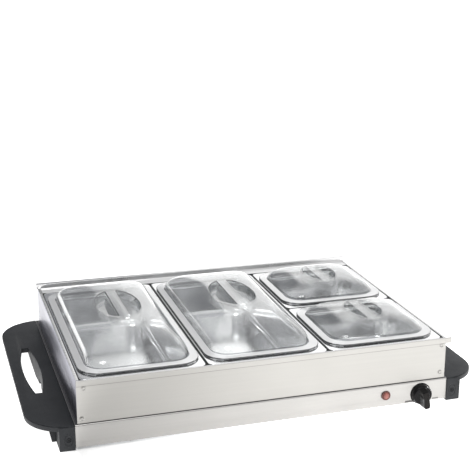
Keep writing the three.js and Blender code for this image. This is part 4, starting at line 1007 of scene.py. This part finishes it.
class DISH_OT_frame(bpy.types.Operator):
    """Dresses the frame's front, rear, side walls and dividers in brushed sheet steel, with lighter and
    darker copies of it as painted highlight and shade
    """

    bl_idname = "chafing_dish.build_frame"
    bl_label = "Frame"

    def execute(self, context):
        settings = context.scene.chafing_frame
        low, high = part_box("front_panel")
        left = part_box("left_wall")[0].x + settings.weld
        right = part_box("right_wall")[1].x - 0.7 * settings.weld
        face = low.y + 1.2 * MM
        welds = [
            (left, face, 83 * MM),
            (left - 3.5 * MM, face, 42 * MM),
            (right, face, 83.5 * MM),
            (right - 0.5 * MM, face, 44 * MM),
        ]
        # Heights of the painted shade lines: under the rim strip's step, and along the hem at the seam with
        # the band.
        strip_shade_z = high.z - 8.3 * MM
        hem_shade_z = low.z + 0.2 * MM
        front = brushed_steel(
            "front_steel", settings.front_steel, settings.roughness, welds=welds, shade_lines=(strip_shade_z, hem_shade_z))
        # The side walls' darker steel is painted shade.
        side = brushed_steel(
            "side_shade_steel", settings.side_shade_steel, settings.roughness * 0.8, (200.0, 4.0, 260.0), 0.2)
        # The lighter rim steel is painted highlight on upward faces.
        painted_highlight_steel = brushed_steel("rim_highlight_steel", settings.rim_highlight_steel, settings.roughness * 0.7)
        # The near-black ledge steel is painted shade.
        shade = brushed_steel("ledge_shade_steel", settings.ledge_shade_steel, 0.5)
        bend = settings.bend
        sheets = (
            ("front_panel", "front_sheet", front, 3, self.part_of_front),
            ("rear_panel", "rear_sheet", painted_highlight_steel, 2, self.part_of_rear),
            ("left_wall", "left_side_sheet", side, 2, self.part_of_wall),
            ("right_wall", "right_side_sheet", side, 2, self.part_of_wall),
        )
        for node, name, outside, segments, choose in sheets:
            steels = [outside, painted_highlight_steel, shade]
            softened(node, name, steels, bend, segments, choose=choose)
        # The dividers are in the near-black steel too, painted shade in the gaps between the pans.
        for name in ("left", "right", "short"):
            softened(f"{name}_divider", f"{name}_divider_bar", [shade], bend, 2)
        return {"FINISHED"}

    def part_of_front(self, face):
        """Number of a face's material: 0 outside, 1 on the rim, in steel lighter as painted highlight, 2 on
        the ledge behind, in near-black steel as painted shade.
        """
        sheet_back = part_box("front_panel")[0].y + 2.4 * MM
        rim_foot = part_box("front_panel")[1].z - 0.6 * MM
        middle = face.calc_center_median()
        if middle.y > sheet_back and middle.z < rim_foot:
            return 2
        return 1 if face.normal.z > 0.6 and middle.z > rim_foot else 0

    def part_of_rear(self, face):
        """The parts in front of the rear sheet and under its shelf's top get the near-black steel as painted
        shade; the rest gets the lighter steel as painted highlight.
        """
        under_shelf = 0.0935
        sheet_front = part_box("rear_panel")[1].y - 8 * MM
        middle = face.calc_center_median()
        return 2 if middle.y < sheet_front and middle.z < under_shelf else 1

    # 0 outside in the darker side steel, painted shade; 1 on the top rim in the lighter steel, painted
    # highlight; 2 on the inner faces in the near-black steel, painted shade.
    def part_of_wall(self, face):
        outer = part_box("right_wall")[1]
        inner_x = outer.x - 1.5 * MM
        middle = face.calc_center_median()
        if abs(middle.x) < inner_x and middle.z < outer.z - 0.6 * MM:
            return 2
        return 1 if face.normal.z > 0.4 and middle.z > outer.z - 1 * MM else 0


# Warming base

class DISH_OT_base(bpy.types.Operator):
    """Dresses the base's folded band and deck, and plates the cover under it"""

    bl_idname = "chafing_dish.build_base"
    bl_label = "Base"

    def execute(self, context):
        settings = context.scene.chafing_base
        steel = brushed_steel("band_steel", settings.steel, 0.4)
        # The deck's dark steel is painted shade for the seam under the frame.
        deck = brushed_steel("deck_steel", settings.deck, 0.42, (3.0, 190.0, 190.0))
        softened(
            "base_shell", "base_band", [steel, deck], settings.bend, 3, 20.0, 40.0,
            self.part_of_base)
        zinc = plain_metal("cover_plating", settings.zinc, 0.42, 45.0)
        dress_node("bottom_cover", zinc)
        return {"FINISHED"}

    def part_of_base(self, face):
        """Band, or the deck that lies inside the band's bend, which gets the dark steel as painted shade for
        the seam under the frame.
        """
        skin, bend_reach = 0.4 * MM, 0.55 * MM
        low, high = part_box("base_shell")
        middle = face.calc_center_median()
        inset = min(middle.x - low.x, high.x - middle.x, middle.y - low.y, high.y - middle.y)
        return 1 if middle.z > high.z - skin and inset > bend_reach else 0


def dress_node(node, material):
    """Gives a solid piece that stays a new material."""
    mesh = frame["nodes"][node].data
    mesh.materials.clear()
    mesh.materials.append(material)


def pan_head_screw(edit, radius, height, shank_radius, length, recess):
    """A pan-head screw that points down, with its head's top at zero and a cross in it."""
    crown = height * 0.35
    profile = [
        (0.0, 0.0),
        (radius * 0.7, 0.0),
        (radius * 0.93, -crown * 0.45),
        (radius, -crown),
        (radius, -height),
        (shank_radius, -height),
        (shank_radius, -height - length * 0.93),
        (shank_radius * 0.5, -height - length),
        (0.0, -height - length),
    ]
    turned(edit, profile, 28, Matrix.Identity(4))
    flat = [face for face in edit.faces if face.calc_center_median().z > -CUT_GAP]
    bmesh.ops.dissolve_faces(edit, faces=flat)
    edit.faces.ensure_lookup_table()
    top = max(edit.faces, key=lambda face: face.calc_center_median().z)
    cross_recess(edit, top, Vector((0.0, 0.0, 0.0)), radius * 0.52, radius * 0.14, recess)
    bmesh.ops.recalc_face_normals(edit, faces=edit.faces[:])


class DISH_OT_fastenings(bpy.types.Operator):
    """Builds the cross-recessed screws of the legs and of the bottom cover"""

    bl_idname = "chafing_dish.build_fastenings"
    bl_label = "Screws"

    def execute(self, context):
        leg_shank = 1.5 * MM
        cover_shank = 1.4 * MM
        settings = context.scene.chafing_base
        plating = plain_metal("screw_plating", settings.screw, 0.4, 300.0)
        for corner in CORNERS:
            node = f"{corner}_leg_screw"
            low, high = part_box(node)
            centre = middle_of(node)
            if corner.endswith("front"):
                place = facing_front(centre.x, low.y, centre.z)
            else:
                place = facing_back(centre.x, high.y, centre.z)
            self.build(node, high.y - low.y, half_of(node).x, leg_shank, place, settings, plating)
        for number in (1, 2, 3, 4):
            node = f"cover_screw_{number}"
            low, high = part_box(node)
            centre = middle_of(node)
            place = Matrix.Translation((centre.x, centre.y, low.z)) @ Matrix.Rotation(math.pi, 4, "X")
            self.build(node, high.z - low.z, half_of(node).x, cover_shank, place, settings, plating)
        return {"FINISHED"}

    def build(self, node, length, radius, shank, place, settings, plating):
        height = 1.6 * MM
        edit = bmesh.new()
        pan_head_screw(edit, radius, height, shank, length - height, settings.screw_head)
        bmesh.ops.transform(edit, matrix=place, verts=edit.verts[:])
        finish_piece(edit, f"{node}_head", [plating], body_of_node(node), [node], 30.0)


# Handles and feet

class DISH_OT_handles(bpy.types.Operator):
    """Dresses the moulded end handles and builds the rubber feet under their legs"""

    bl_idname = "chafing_dish.build_handles"
    bl_label = "Handles"

    def execute(self, context):
        settings = context.scene.chafing_handles
        screw = middle_of("right_front_leg_screw")
        oval_half_x, oval_half_z = 5.1 * MM, 7.8 * MM
        oval = (screw.x, screw.z, oval_half_x, oval_half_z)
        plastic = moulded_plastic(
            "handle_moulding", settings.plastic, 0.55, 1500.0, 0.35, groove=oval, shine=0.3)
        for end in ("left", "right"):
            softened(
                f"{end}_handle", f"{end}_grip", [plastic], settings.edge, 3, 30.0, 45.0)
        rubber = moulded_plastic("foot_rubber", settings.rubber, 0.75, 900.0, 0.3)
        for corner in CORNERS:
            self.foot(f"{corner}_foot", rubber)
        return {"FINISHED"}

    def foot(self, node, rubber):
        low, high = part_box(node)
        centre = middle_of(node)
        radius = half_of(node).x
        thick = 2.6 * MM
        stem = 3 * MM
        rise = high.z - low.z
        profile = [
            (0.0, 0.35 * MM),
            (radius * 0.45, 0.35 * MM),
            (radius * 0.5, 0.0),
            (radius * 0.86, 0.0),
            (radius * 0.96, 0.2 * MM),
            (radius, 0.7 * MM),
            (radius * 0.97, thick - 0.3 * MM),
            (radius * 0.92, thick),
            (stem, thick),
            (stem, rise - 0.6 * MM),
            (stem * 0.8, rise),
            (0.0, rise),
        ]
        edit = bmesh.new()
        turned(edit, profile, 40, Matrix.Translation((centre.x, centre.y, low.z)))
        finish_piece(edit, f"{node}_pad", [rubber], "base", [node], 40.0)


# Knob, lamp, marks and cord bush

class DISH_OT_controls(bpy.types.Operator):
    """Builds the control knob, the lamp, the printed marks beside them and the cord's bush"""

    bl_idname = "chafing_dish.build_controls"
    bl_label = "Controls"

    def execute(self, context):
        settings = context.scene.chafing_controls
        black = moulded_plastic("knob_moulding", settings.plastic, 0.2, 2600.0, 0.05, shine=0.14)
        # A lighter copy of the knob's plastic, painted light for the grip's front face.
        face = moulded_plastic("knob_grip_face_lit", settings.face, 0.3, 2200.0, 0.1, shine=0.1)
        self.knob(settings, black, face)
        self.lamp(settings)
        self.marks(settings)
        self.bush()
        return {"FINISHED"}

    def knob(self, settings, black, face):
        low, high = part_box("control_knob")
        axis = middle_of("thermostat_shaft")
        depth = high.y - low.y
        # Radius and height of the skirt and the drum, in millimetres
        profile = [
            (0.0, 5.5), (8.6, 5.5), (8.6, 0.3), (8.9, 0.0), (14.8, 0.0), (15.2, 0.4), (15.2, 1.8),
            (15.0, 2.4), (14.5, 2.75), (13.7, 2.8), (13.45, 3.0), (13.6, 3.3), (14.0, 3.6), (13.95, 5.5),
            (13.75, 7.8), (13.45, 8.9), (12.9, 9.6), (12.1, 9.95), (11.4, 10.0), (0.0, 10.0),
        ]
        edit = bmesh.new()
        turned(edit, [(radius * MM, height * MM) for radius, height in profile], 72, Matrix.Identity(4))

        # The bar's half width and both ends, in millimetres, then each level's height, width and pinch
        half, tail, reach = 5.7, 12.2, 15.0
        straight = [(half, along) for along in (-12.0, -7.5, -3.0, 1.5, 6.0, 10.0)]
        flank = [(4.0, -reach), *straight, (half - 1.2, tail)]
        outline = flank + [(-across, along) for across, along in reversed(flank)]
        heights = [
            (2.0, 1.0, 0.0), (8.0, 1.0, 0.0), (10.2, 0.95, 0.1), (13.0, 0.88, 0.2), (16.5, 0.83, 0.18),
            (19.2, 0.8, 0.1), (depth / MM - 0.5, 0.78, 0.06), (depth / MM, 0.7, 0.05),
        ]
        bar = bmesh.new()
        levels = [self.bar_level(*height) for height in heights]
        _, top = stack_rings(bar, outline, levels)
        cap(bar, top)
        bmesh.ops.recalc_face_normals(bar, faces=bar.faces[:])
        # The bar's front end takes the lighter copy, painted light where it faces the front.
        for piece in bar.faces:
            if piece.normal.z > 0.9 and piece.calc_center_median().z > depth - 0.2 * MM:
                piece.material_index = 1
        bar_mesh = bpy.data.meshes.new("knob_bar")
        bar.to_mesh(bar_mesh)
        bar.free()
        edit.from_mesh(bar_mesh)
        bpy.data.meshes.remove(bar_mesh)
        place = facing_front(axis.x, high.y, axis.z) @ Matrix.Rotation(settings.pointer_turn, 4, "Z")
        bmesh.ops.transform(edit, matrix=place, verts=edit.verts[:])
        knob = finish_piece(
            edit, "knob_moulding", [black, face], "control", ["control_knob"], 38.0)
        knob.visible_glossy = False

        ticks = bmesh.new()
        drum_radius, drum_height, lean = 13.2 * MM, 9.0 * MM, -0.8
        size = Matrix.Diagonal((0.5 * MM, 0.75 * MM, 2.2 * MM, 1.0))
        for degrees in (22.0, 33.0, 44.0, 55.0):
            turn = Matrix.Rotation(math.radians(degrees), 4, "Z")
            out = Matrix.Translation((drum_radius, 0.0, drum_height))
            spot = turn @ out @ Matrix.Rotation(lean, 4, "Y")
            bmesh.ops.create_cube(ticks, size=1.0, matrix=spot @ size)
        bmesh.ops.transform(ticks, matrix=place, verts=ticks.verts[:])
        white = printed_ink("tick_paint", (0.55, 0.55, 0.54))
        finish_piece(ticks, "knob_ticks", [white], "control")

    def bar_level(self, height, width, pinch):
        """One level of the grip bar, narrower where thumb and finger press."""
        pinch_middle, pinch_reach = -1.0, 10.0
        tail_share = 0.9

        def place(entry):
            across, along = entry
            hollow = pinch * max(0.0, 1.0 - ((along - pinch_middle) / pinch_reach) ** 2)
            lengthwise = 1.0 if along < 0 else 1.0 - tail_share * (1.0 - width)
            spot = Vector((across * width * (1.0 - hollow), along * lengthwise, height))
            return spot * MM
        return place

    def lamp(self, settings):
        holder_low, holder_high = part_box("lamp_holder")
        lens_low, lens_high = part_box("indicator_lens")
        centre = middle_of("indicator_lens")
        rim_radius = half_of("lamp_holder").x
        lens_radius = half_of("indicator_lens").x
        lens_back = lens_high.y
        lens_front = lens_high.y - lens_low.y
        dome = 1.6 * MM
        profile = [(0.0, 0.0), (lens_radius, 0.0), (lens_radius, lens_front - dome)]
        for angle in quarter_turn(7, 1)[:-1]:
            profile.append((lens_radius * math.cos(angle), lens_front - dome + dome * math.sin(angle)))
        profile.append((0.0, lens_front))
        edit = bmesh.new()
        turned(edit, profile, 48, facing_front(centre.x, lens_back, centre.z))
        lens = lamp_plastic("lamp_lens", settings.lens, shaded(settings.lens, 0.5), centre, 520.0)
        finish_piece(edit, "lamp_lens_dome", [lens], "base", ["indicator_lens"], 50.0)

        back = holder_high.y
        length = holder_high.y - holder_low.y
        rim = 1.4 * MM
        neck = 5.4 * MM
        bore = lens_radius + 0.3 * MM
        well = length - (lens_front - dome) - 0.3 * MM
        profile = [
            (0.0, 0.0),
            (neck, 0.0),
            (neck, length - rim),
            (rim_radius - 0.1 * MM, length - rim),
            (rim_radius, length - rim + 0.2 * MM),
            (rim_radius, length - 0.7 * MM),
            (rim_radius - 0.25 * MM, length - 0.2 * MM),
            (rim_radius - 0.8 * MM, length),
            (bore + 0.3 * MM, length),
            (bore, length - 0.3 * MM),
            (bore, well),
            (0.0, well),
        ]
        edit = bmesh.new()
        turned(edit, profile, 48, facing_front(centre.x, back, centre.z))
        ring = moulded_plastic("lamp_ring", shaded(settings.lens, 0.33), 0.22, 2400.0, 0.1)
        finish_piece(edit, "lamp_bezel", [ring], "base", ["lamp_holder"], 40.0)

    def marks(self, settings):
        """Plain printed bars on both sides of the knob, tall for hot and short for mild."""
        dark = printed_ink("printed_ink", settings.ink)
        pale = printed_ink("printed_ink_pale", tuple(min(1.0, 0.07 + channel) for channel in settings.ink))
        knob = middle_of("thermostat_shaft")
        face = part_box("base_shell")[0].y
        pitch, width, thick, drop = 1.85 * MM, 1.4 * MM, 0.06 * MM, 11.0 * MM
        edit = bmesh.new()
        # Number of the ink, first bar's place beside the knob, count of bars and their height
        rows = ((0, -20.7 * MM, 8, 2.7 * MM), (1, 20.4 * MM, 5, 1.8 * MM))
        for ink, start, count, tall in rows:
            for number in range(count):
                across = knob.x + start + pitch * number
                place = Matrix.Translation((across, face - thick / 2, knob.z - drop))
                size = Matrix.Diagonal((width, thick, tall, 1.0))
                made = bmesh.ops.create_cube(edit, size=1.0, matrix=place @ size)
                for vert in made["verts"]:
                    for side in vert.link_faces:
                        side.material_index = ink
        finish_piece(edit, "scale_marks", [dark, pale], "base")

    def bush(self):
        low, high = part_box("cord_bush")
        centre = middle_of("cord_bush")
        radius = half_of("cord_bush").x
        length = high.y - low.y
        bore = 3.7 * MM
        collar = 7.4 * MM
        collar_length = 4 * MM
        neck = 6 * MM
        chamfer = 0.4 * MM
        flange = length - 4.6 * MM
        profile = [
            (bore, 0.3 * MM),
            (bore + 0.3 * MM, 0.0),
            (collar - chamfer, 0.0),
            (collar, 0.5 * MM),
            (collar, collar_length - chamfer),
            (collar - chamfer, collar_length),
            (neck, collar_length),
            (neck, flange),
            (radius - 0.4 * MM, flange),
            (radius, flange + 0.5 * MM),
            (radius, flange + 2.3 * MM),
            (radius - 0.7 * MM, flange + 3.0 * MM),
            (5.9 * MM, flange + 3.0 * MM),
            (5.7 * MM, flange + 3.3 * MM),
            (5.4 * MM, length - 0.3 * MM),
            (5.0 * MM, length),
            (bore + 0.4 * MM, length),
            (bore, length - 0.4 * MM),
            (bore, 0.3 * MM),
        ]
        edit = bmesh.new()
        turned(edit, profile, 48, facing_back(centre.x, low.y, centre.z))
        rubber = moulded_plastic("bush_rubber", (0.02, 0.02, 0.021), 0.7, 1200.0, 0.25)
        finish_piece(edit, "cord_bush_moulding", [rubber], "base", ["cord_bush"], 40.0)


# Pieces inside the base

class DISH_OT_inside(bpy.types.Operator):
    """Gives the heating element, thermostat, wiring and brackets their finishes"""

    bl_idname = "chafing_dish.finish_inside"
    bl_label = "Inside"

    def execute(self, context):
        sheath = plain_metal("element_sheath", (0.17, 0.15, 0.135), 0.5, 90.0, 0.3)
        aluminium = plain_metal("aluminium_sheet", (0.72, 0.73, 0.74), 0.4, 30.0, 0.08)
        plated = plain_metal("bracket_plating", (0.62, 0.63, 0.64), 0.4, 70.0)
        ceramic = moulded_plastic("fired_ceramic", (0.75, 0.71, 0.62), 0.5, 700.0, 0.2)
        sleeve = moulded_plastic("lead_sleeve", (0.72, 0.7, 0.64), 0.6, 2400.0, 0.5)
        finishes = {
            sheath: ["heating_element"],
            aluminium: ["heat_shield", "element_strap_1", "element_strap_2", "element_strap_3"],
            plated: [f"{corner}_bracket" for corner in CORNERS] + ["thermostat_nut", "thermostat_shaft"],
            ceramic: ["thermostat", "terminal_block", "thermal_cutout"],
            sleeve: ["supply_lead", "heater_lead", "element_lead", "return_lead", "lamp_lead"],
        }
        for material, nodes in finishes.items():
            for node in nodes:
                dress_node(node, material)
        return {"FINISHED"}


# Stage

def floor_material(name, colour, glow_left, glow_right):
    """A pale floor that sends up light, more towards its right and again beyond the dish's left end."""
    beyond_glow = 1.15
    far_left, left_end, dim_x, bright_x = -0.275, -0.25, -0.27, 0.07
    material, tree, shader = start_material(name)
    cloud = noise(tree, object_pattern(tree), 1.3, 2.0, 0.5)
    tint = blend_colours(tree, spread(tree, cloud, 0.0, 1.0), colour, shaded(colour, 0.985))
    tree.links.new(tint, shader.inputs["Base Color"])
    tree.links.new(tint, shader.inputs["Emission Color"])
    rightward = object_axes(tree)["X"]
    glow = spread(tree, rightward, glow_left, glow_right, dim_x, bright_x)
    beyond = spread(tree, rightward, beyond_glow, 0.0, far_left, left_end)
    tree.links.new(sums(tree, "MAXIMUM", glow, beyond), shader.inputs["Emission Strength"])
    shader.inputs["Roughness"].default_value = 0.6
    shader.inputs["Specular IOR Level"].default_value = 0.2
    return material


def soft_sun(name, towards, width, strength):
    """A wide, far light that stands in the given direction."""
    data = bpy.data.lights.new(name, "SUN")
    data.angle = width
    data.energy = strength
    light = bpy.data.objects.new(name, data)
    bpy.context.scene.collection.objects.link(light)
    light.rotation_euler = Vector(towards).to_track_quat("Z", "Y").to_euler()


class DISH_OT_stage(bpy.types.Operator):
    """Lays the pale floor, lights the room and stands the camera"""

    bl_idname = "chafing_dish.build_stage"
    bl_label = "Stage"

    def execute(self, context):
        settings = context.scene.chafing_stage
        half_floor = 16.0
        gap = 0.2 * MM
        edit = bmesh.new()
        bmesh.ops.create_grid(edit, x_segments=1, y_segments=1, size=half_floor)
        mesh = bpy.data.meshes.new("floor")
        edit.to_mesh(mesh)
        edit.free()
        mesh.materials.append(
            floor_material("pale_floor", settings.floor, settings.glow_left, settings.glow_right))
        floor = bpy.data.objects.new("floor", mesh)
        floor.location.z = -gap
        context.scene.collection.objects.link(floor)

        self.surround(context, settings)
        soft_sun("key", (-0.25, -0.7, 1.0), math.radians(30.0), 0.9 * settings.light)
        self.camera(context, settings)
        context.scene.view_settings.view_transform = "Standard"
        return {"FINISHED"}

    def surround(self, context, settings):
        """A pale room, dim round the horizon on the left and white on the right and above."""
        world = bpy.data.worlds.new("studio")
        world.use_nodes = True
        tree = world.node_tree
        view = apart(tree, tree.nodes.new("ShaderNodeTexCoord").outputs["Generated"])
        height = sums(tree, "MAXIMUM", view["Z"], 0.0)
        rightward = spread(tree, view["X"], 0.0, 1.0, 0.12, 0.2)
        round_about = blend_colours(tree, rightward, settings.horizon_left, settings.horizon)
        upward = spread(tree, height, 0.0, 1.0, 0.5, 0.78)
        colour = blend_colours(tree, upward, round_about, settings.overhead)
        back = tree.nodes["Background"]
        tree.links.new(colour, back.inputs["Color"])
        back.inputs["Strength"].default_value = settings.light
        context.scene.world = world

    def camera(self, context, settings):
        yaw, pitch, roll = settings.yaw, settings.pitch, settings.roll
        forward = Vector((
            math.sin(yaw) * math.cos(pitch), math.cos(yaw) * math.cos(pitch), -math.sin(pitch)))
        right = Vector((math.cos(yaw), -math.sin(yaw), 0.0))
        down = forward.cross(right)
        across = math.cos(roll) * right + math.sin(roll) * down
        up = math.sin(roll) * right - math.cos(roll) * down
        turn = Matrix((across, up, -forward)).transposed().to_4x4()
        data = bpy.data.cameras.new("studio_camera")
        data.lens = settings.lens
        data.sensor_width = 36.0
        data.clip_start = 0.05
        camera = bpy.data.objects.new("studio_camera", data)
        camera.matrix_world = Matrix.Translation(settings.camera) @ turn
        context.scene.collection.objects.link(camera)
        context.scene.camera = camera


# Panel and registration

OPERATORS = (
    DISH_OT_pans,
    DISH_OT_lids,
    DISH_OT_frame,
    DISH_OT_base,
    DISH_OT_fastenings,
    DISH_OT_handles,
    DISH_OT_controls,
    DISH_OT_inside,
    DISH_OT_stage,
)
SETTINGS = {
    "chafing_pans": PanSettings,
    "chafing_lids": LidSettings,
    "chafing_frame": FrameSettings,
    "chafing_base": BaseSettings,
    "chafing_handles": HandleSettings,
    "chafing_controls": ControlSettings,
    "chafing_stage": StageSettings,
}


class DISH_PT_panel(bpy.types.Panel):
    """Lists the chafing dish's pieces with their sizes and colours"""

    bl_idname = "DISH_PT_panel"
    bl_label = "Chafing dish"
    bl_space_type = "VIEW_3D"
    bl_region_type = "UI"
    bl_category = "Chafing dish"

    def draw(self, context):
        for operator in OPERATORS:
            self.layout.operator(operator.bl_idname)
        for name, group in SETTINGS.items():
            box = self.layout.box()
            box.label(text=name.replace("_", " "))
            for prop in group.__annotations__:
                box.prop(getattr(context.scene, name), prop)


def register():
    for group in SETTINGS.values():
        bpy.utils.register_class(group)
    for operator in OPERATORS:
        bpy.utils.register_class(operator)
    bpy.utils.register_class(DISH_PT_panel)
    for name, group in SETTINGS.items():
        setattr(bpy.types.Scene, name, bpy.props.PointerProperty(type=group))


def unregister():
    for name in SETTINGS:
        delattr(bpy.types.Scene, name)
    bpy.utils.unregister_class(DISH_PT_panel)
    for operator in reversed(OPERATORS):
        bpy.utils.unregister_class(operator)
    for group in SETTINGS.values():
        bpy.utils.unregister_class(group)


def main():
    register()
    bpy.ops.chafing_dish.build_stage()
    bpy.ops.chafing_dish.build_base()
    bpy.ops.chafing_dish.build_fastenings()
    bpy.ops.chafing_dish.build_handles()
    bpy.ops.chafing_dish.finish_inside()
    bpy.ops.chafing_dish.build_controls()
    bpy.ops.chafing_dish.build_frame()
    bpy.ops.chafing_dish.build_pans()
    bpy.ops.chafing_dish.build_lids()


if __name__ == "__main__":
    main()
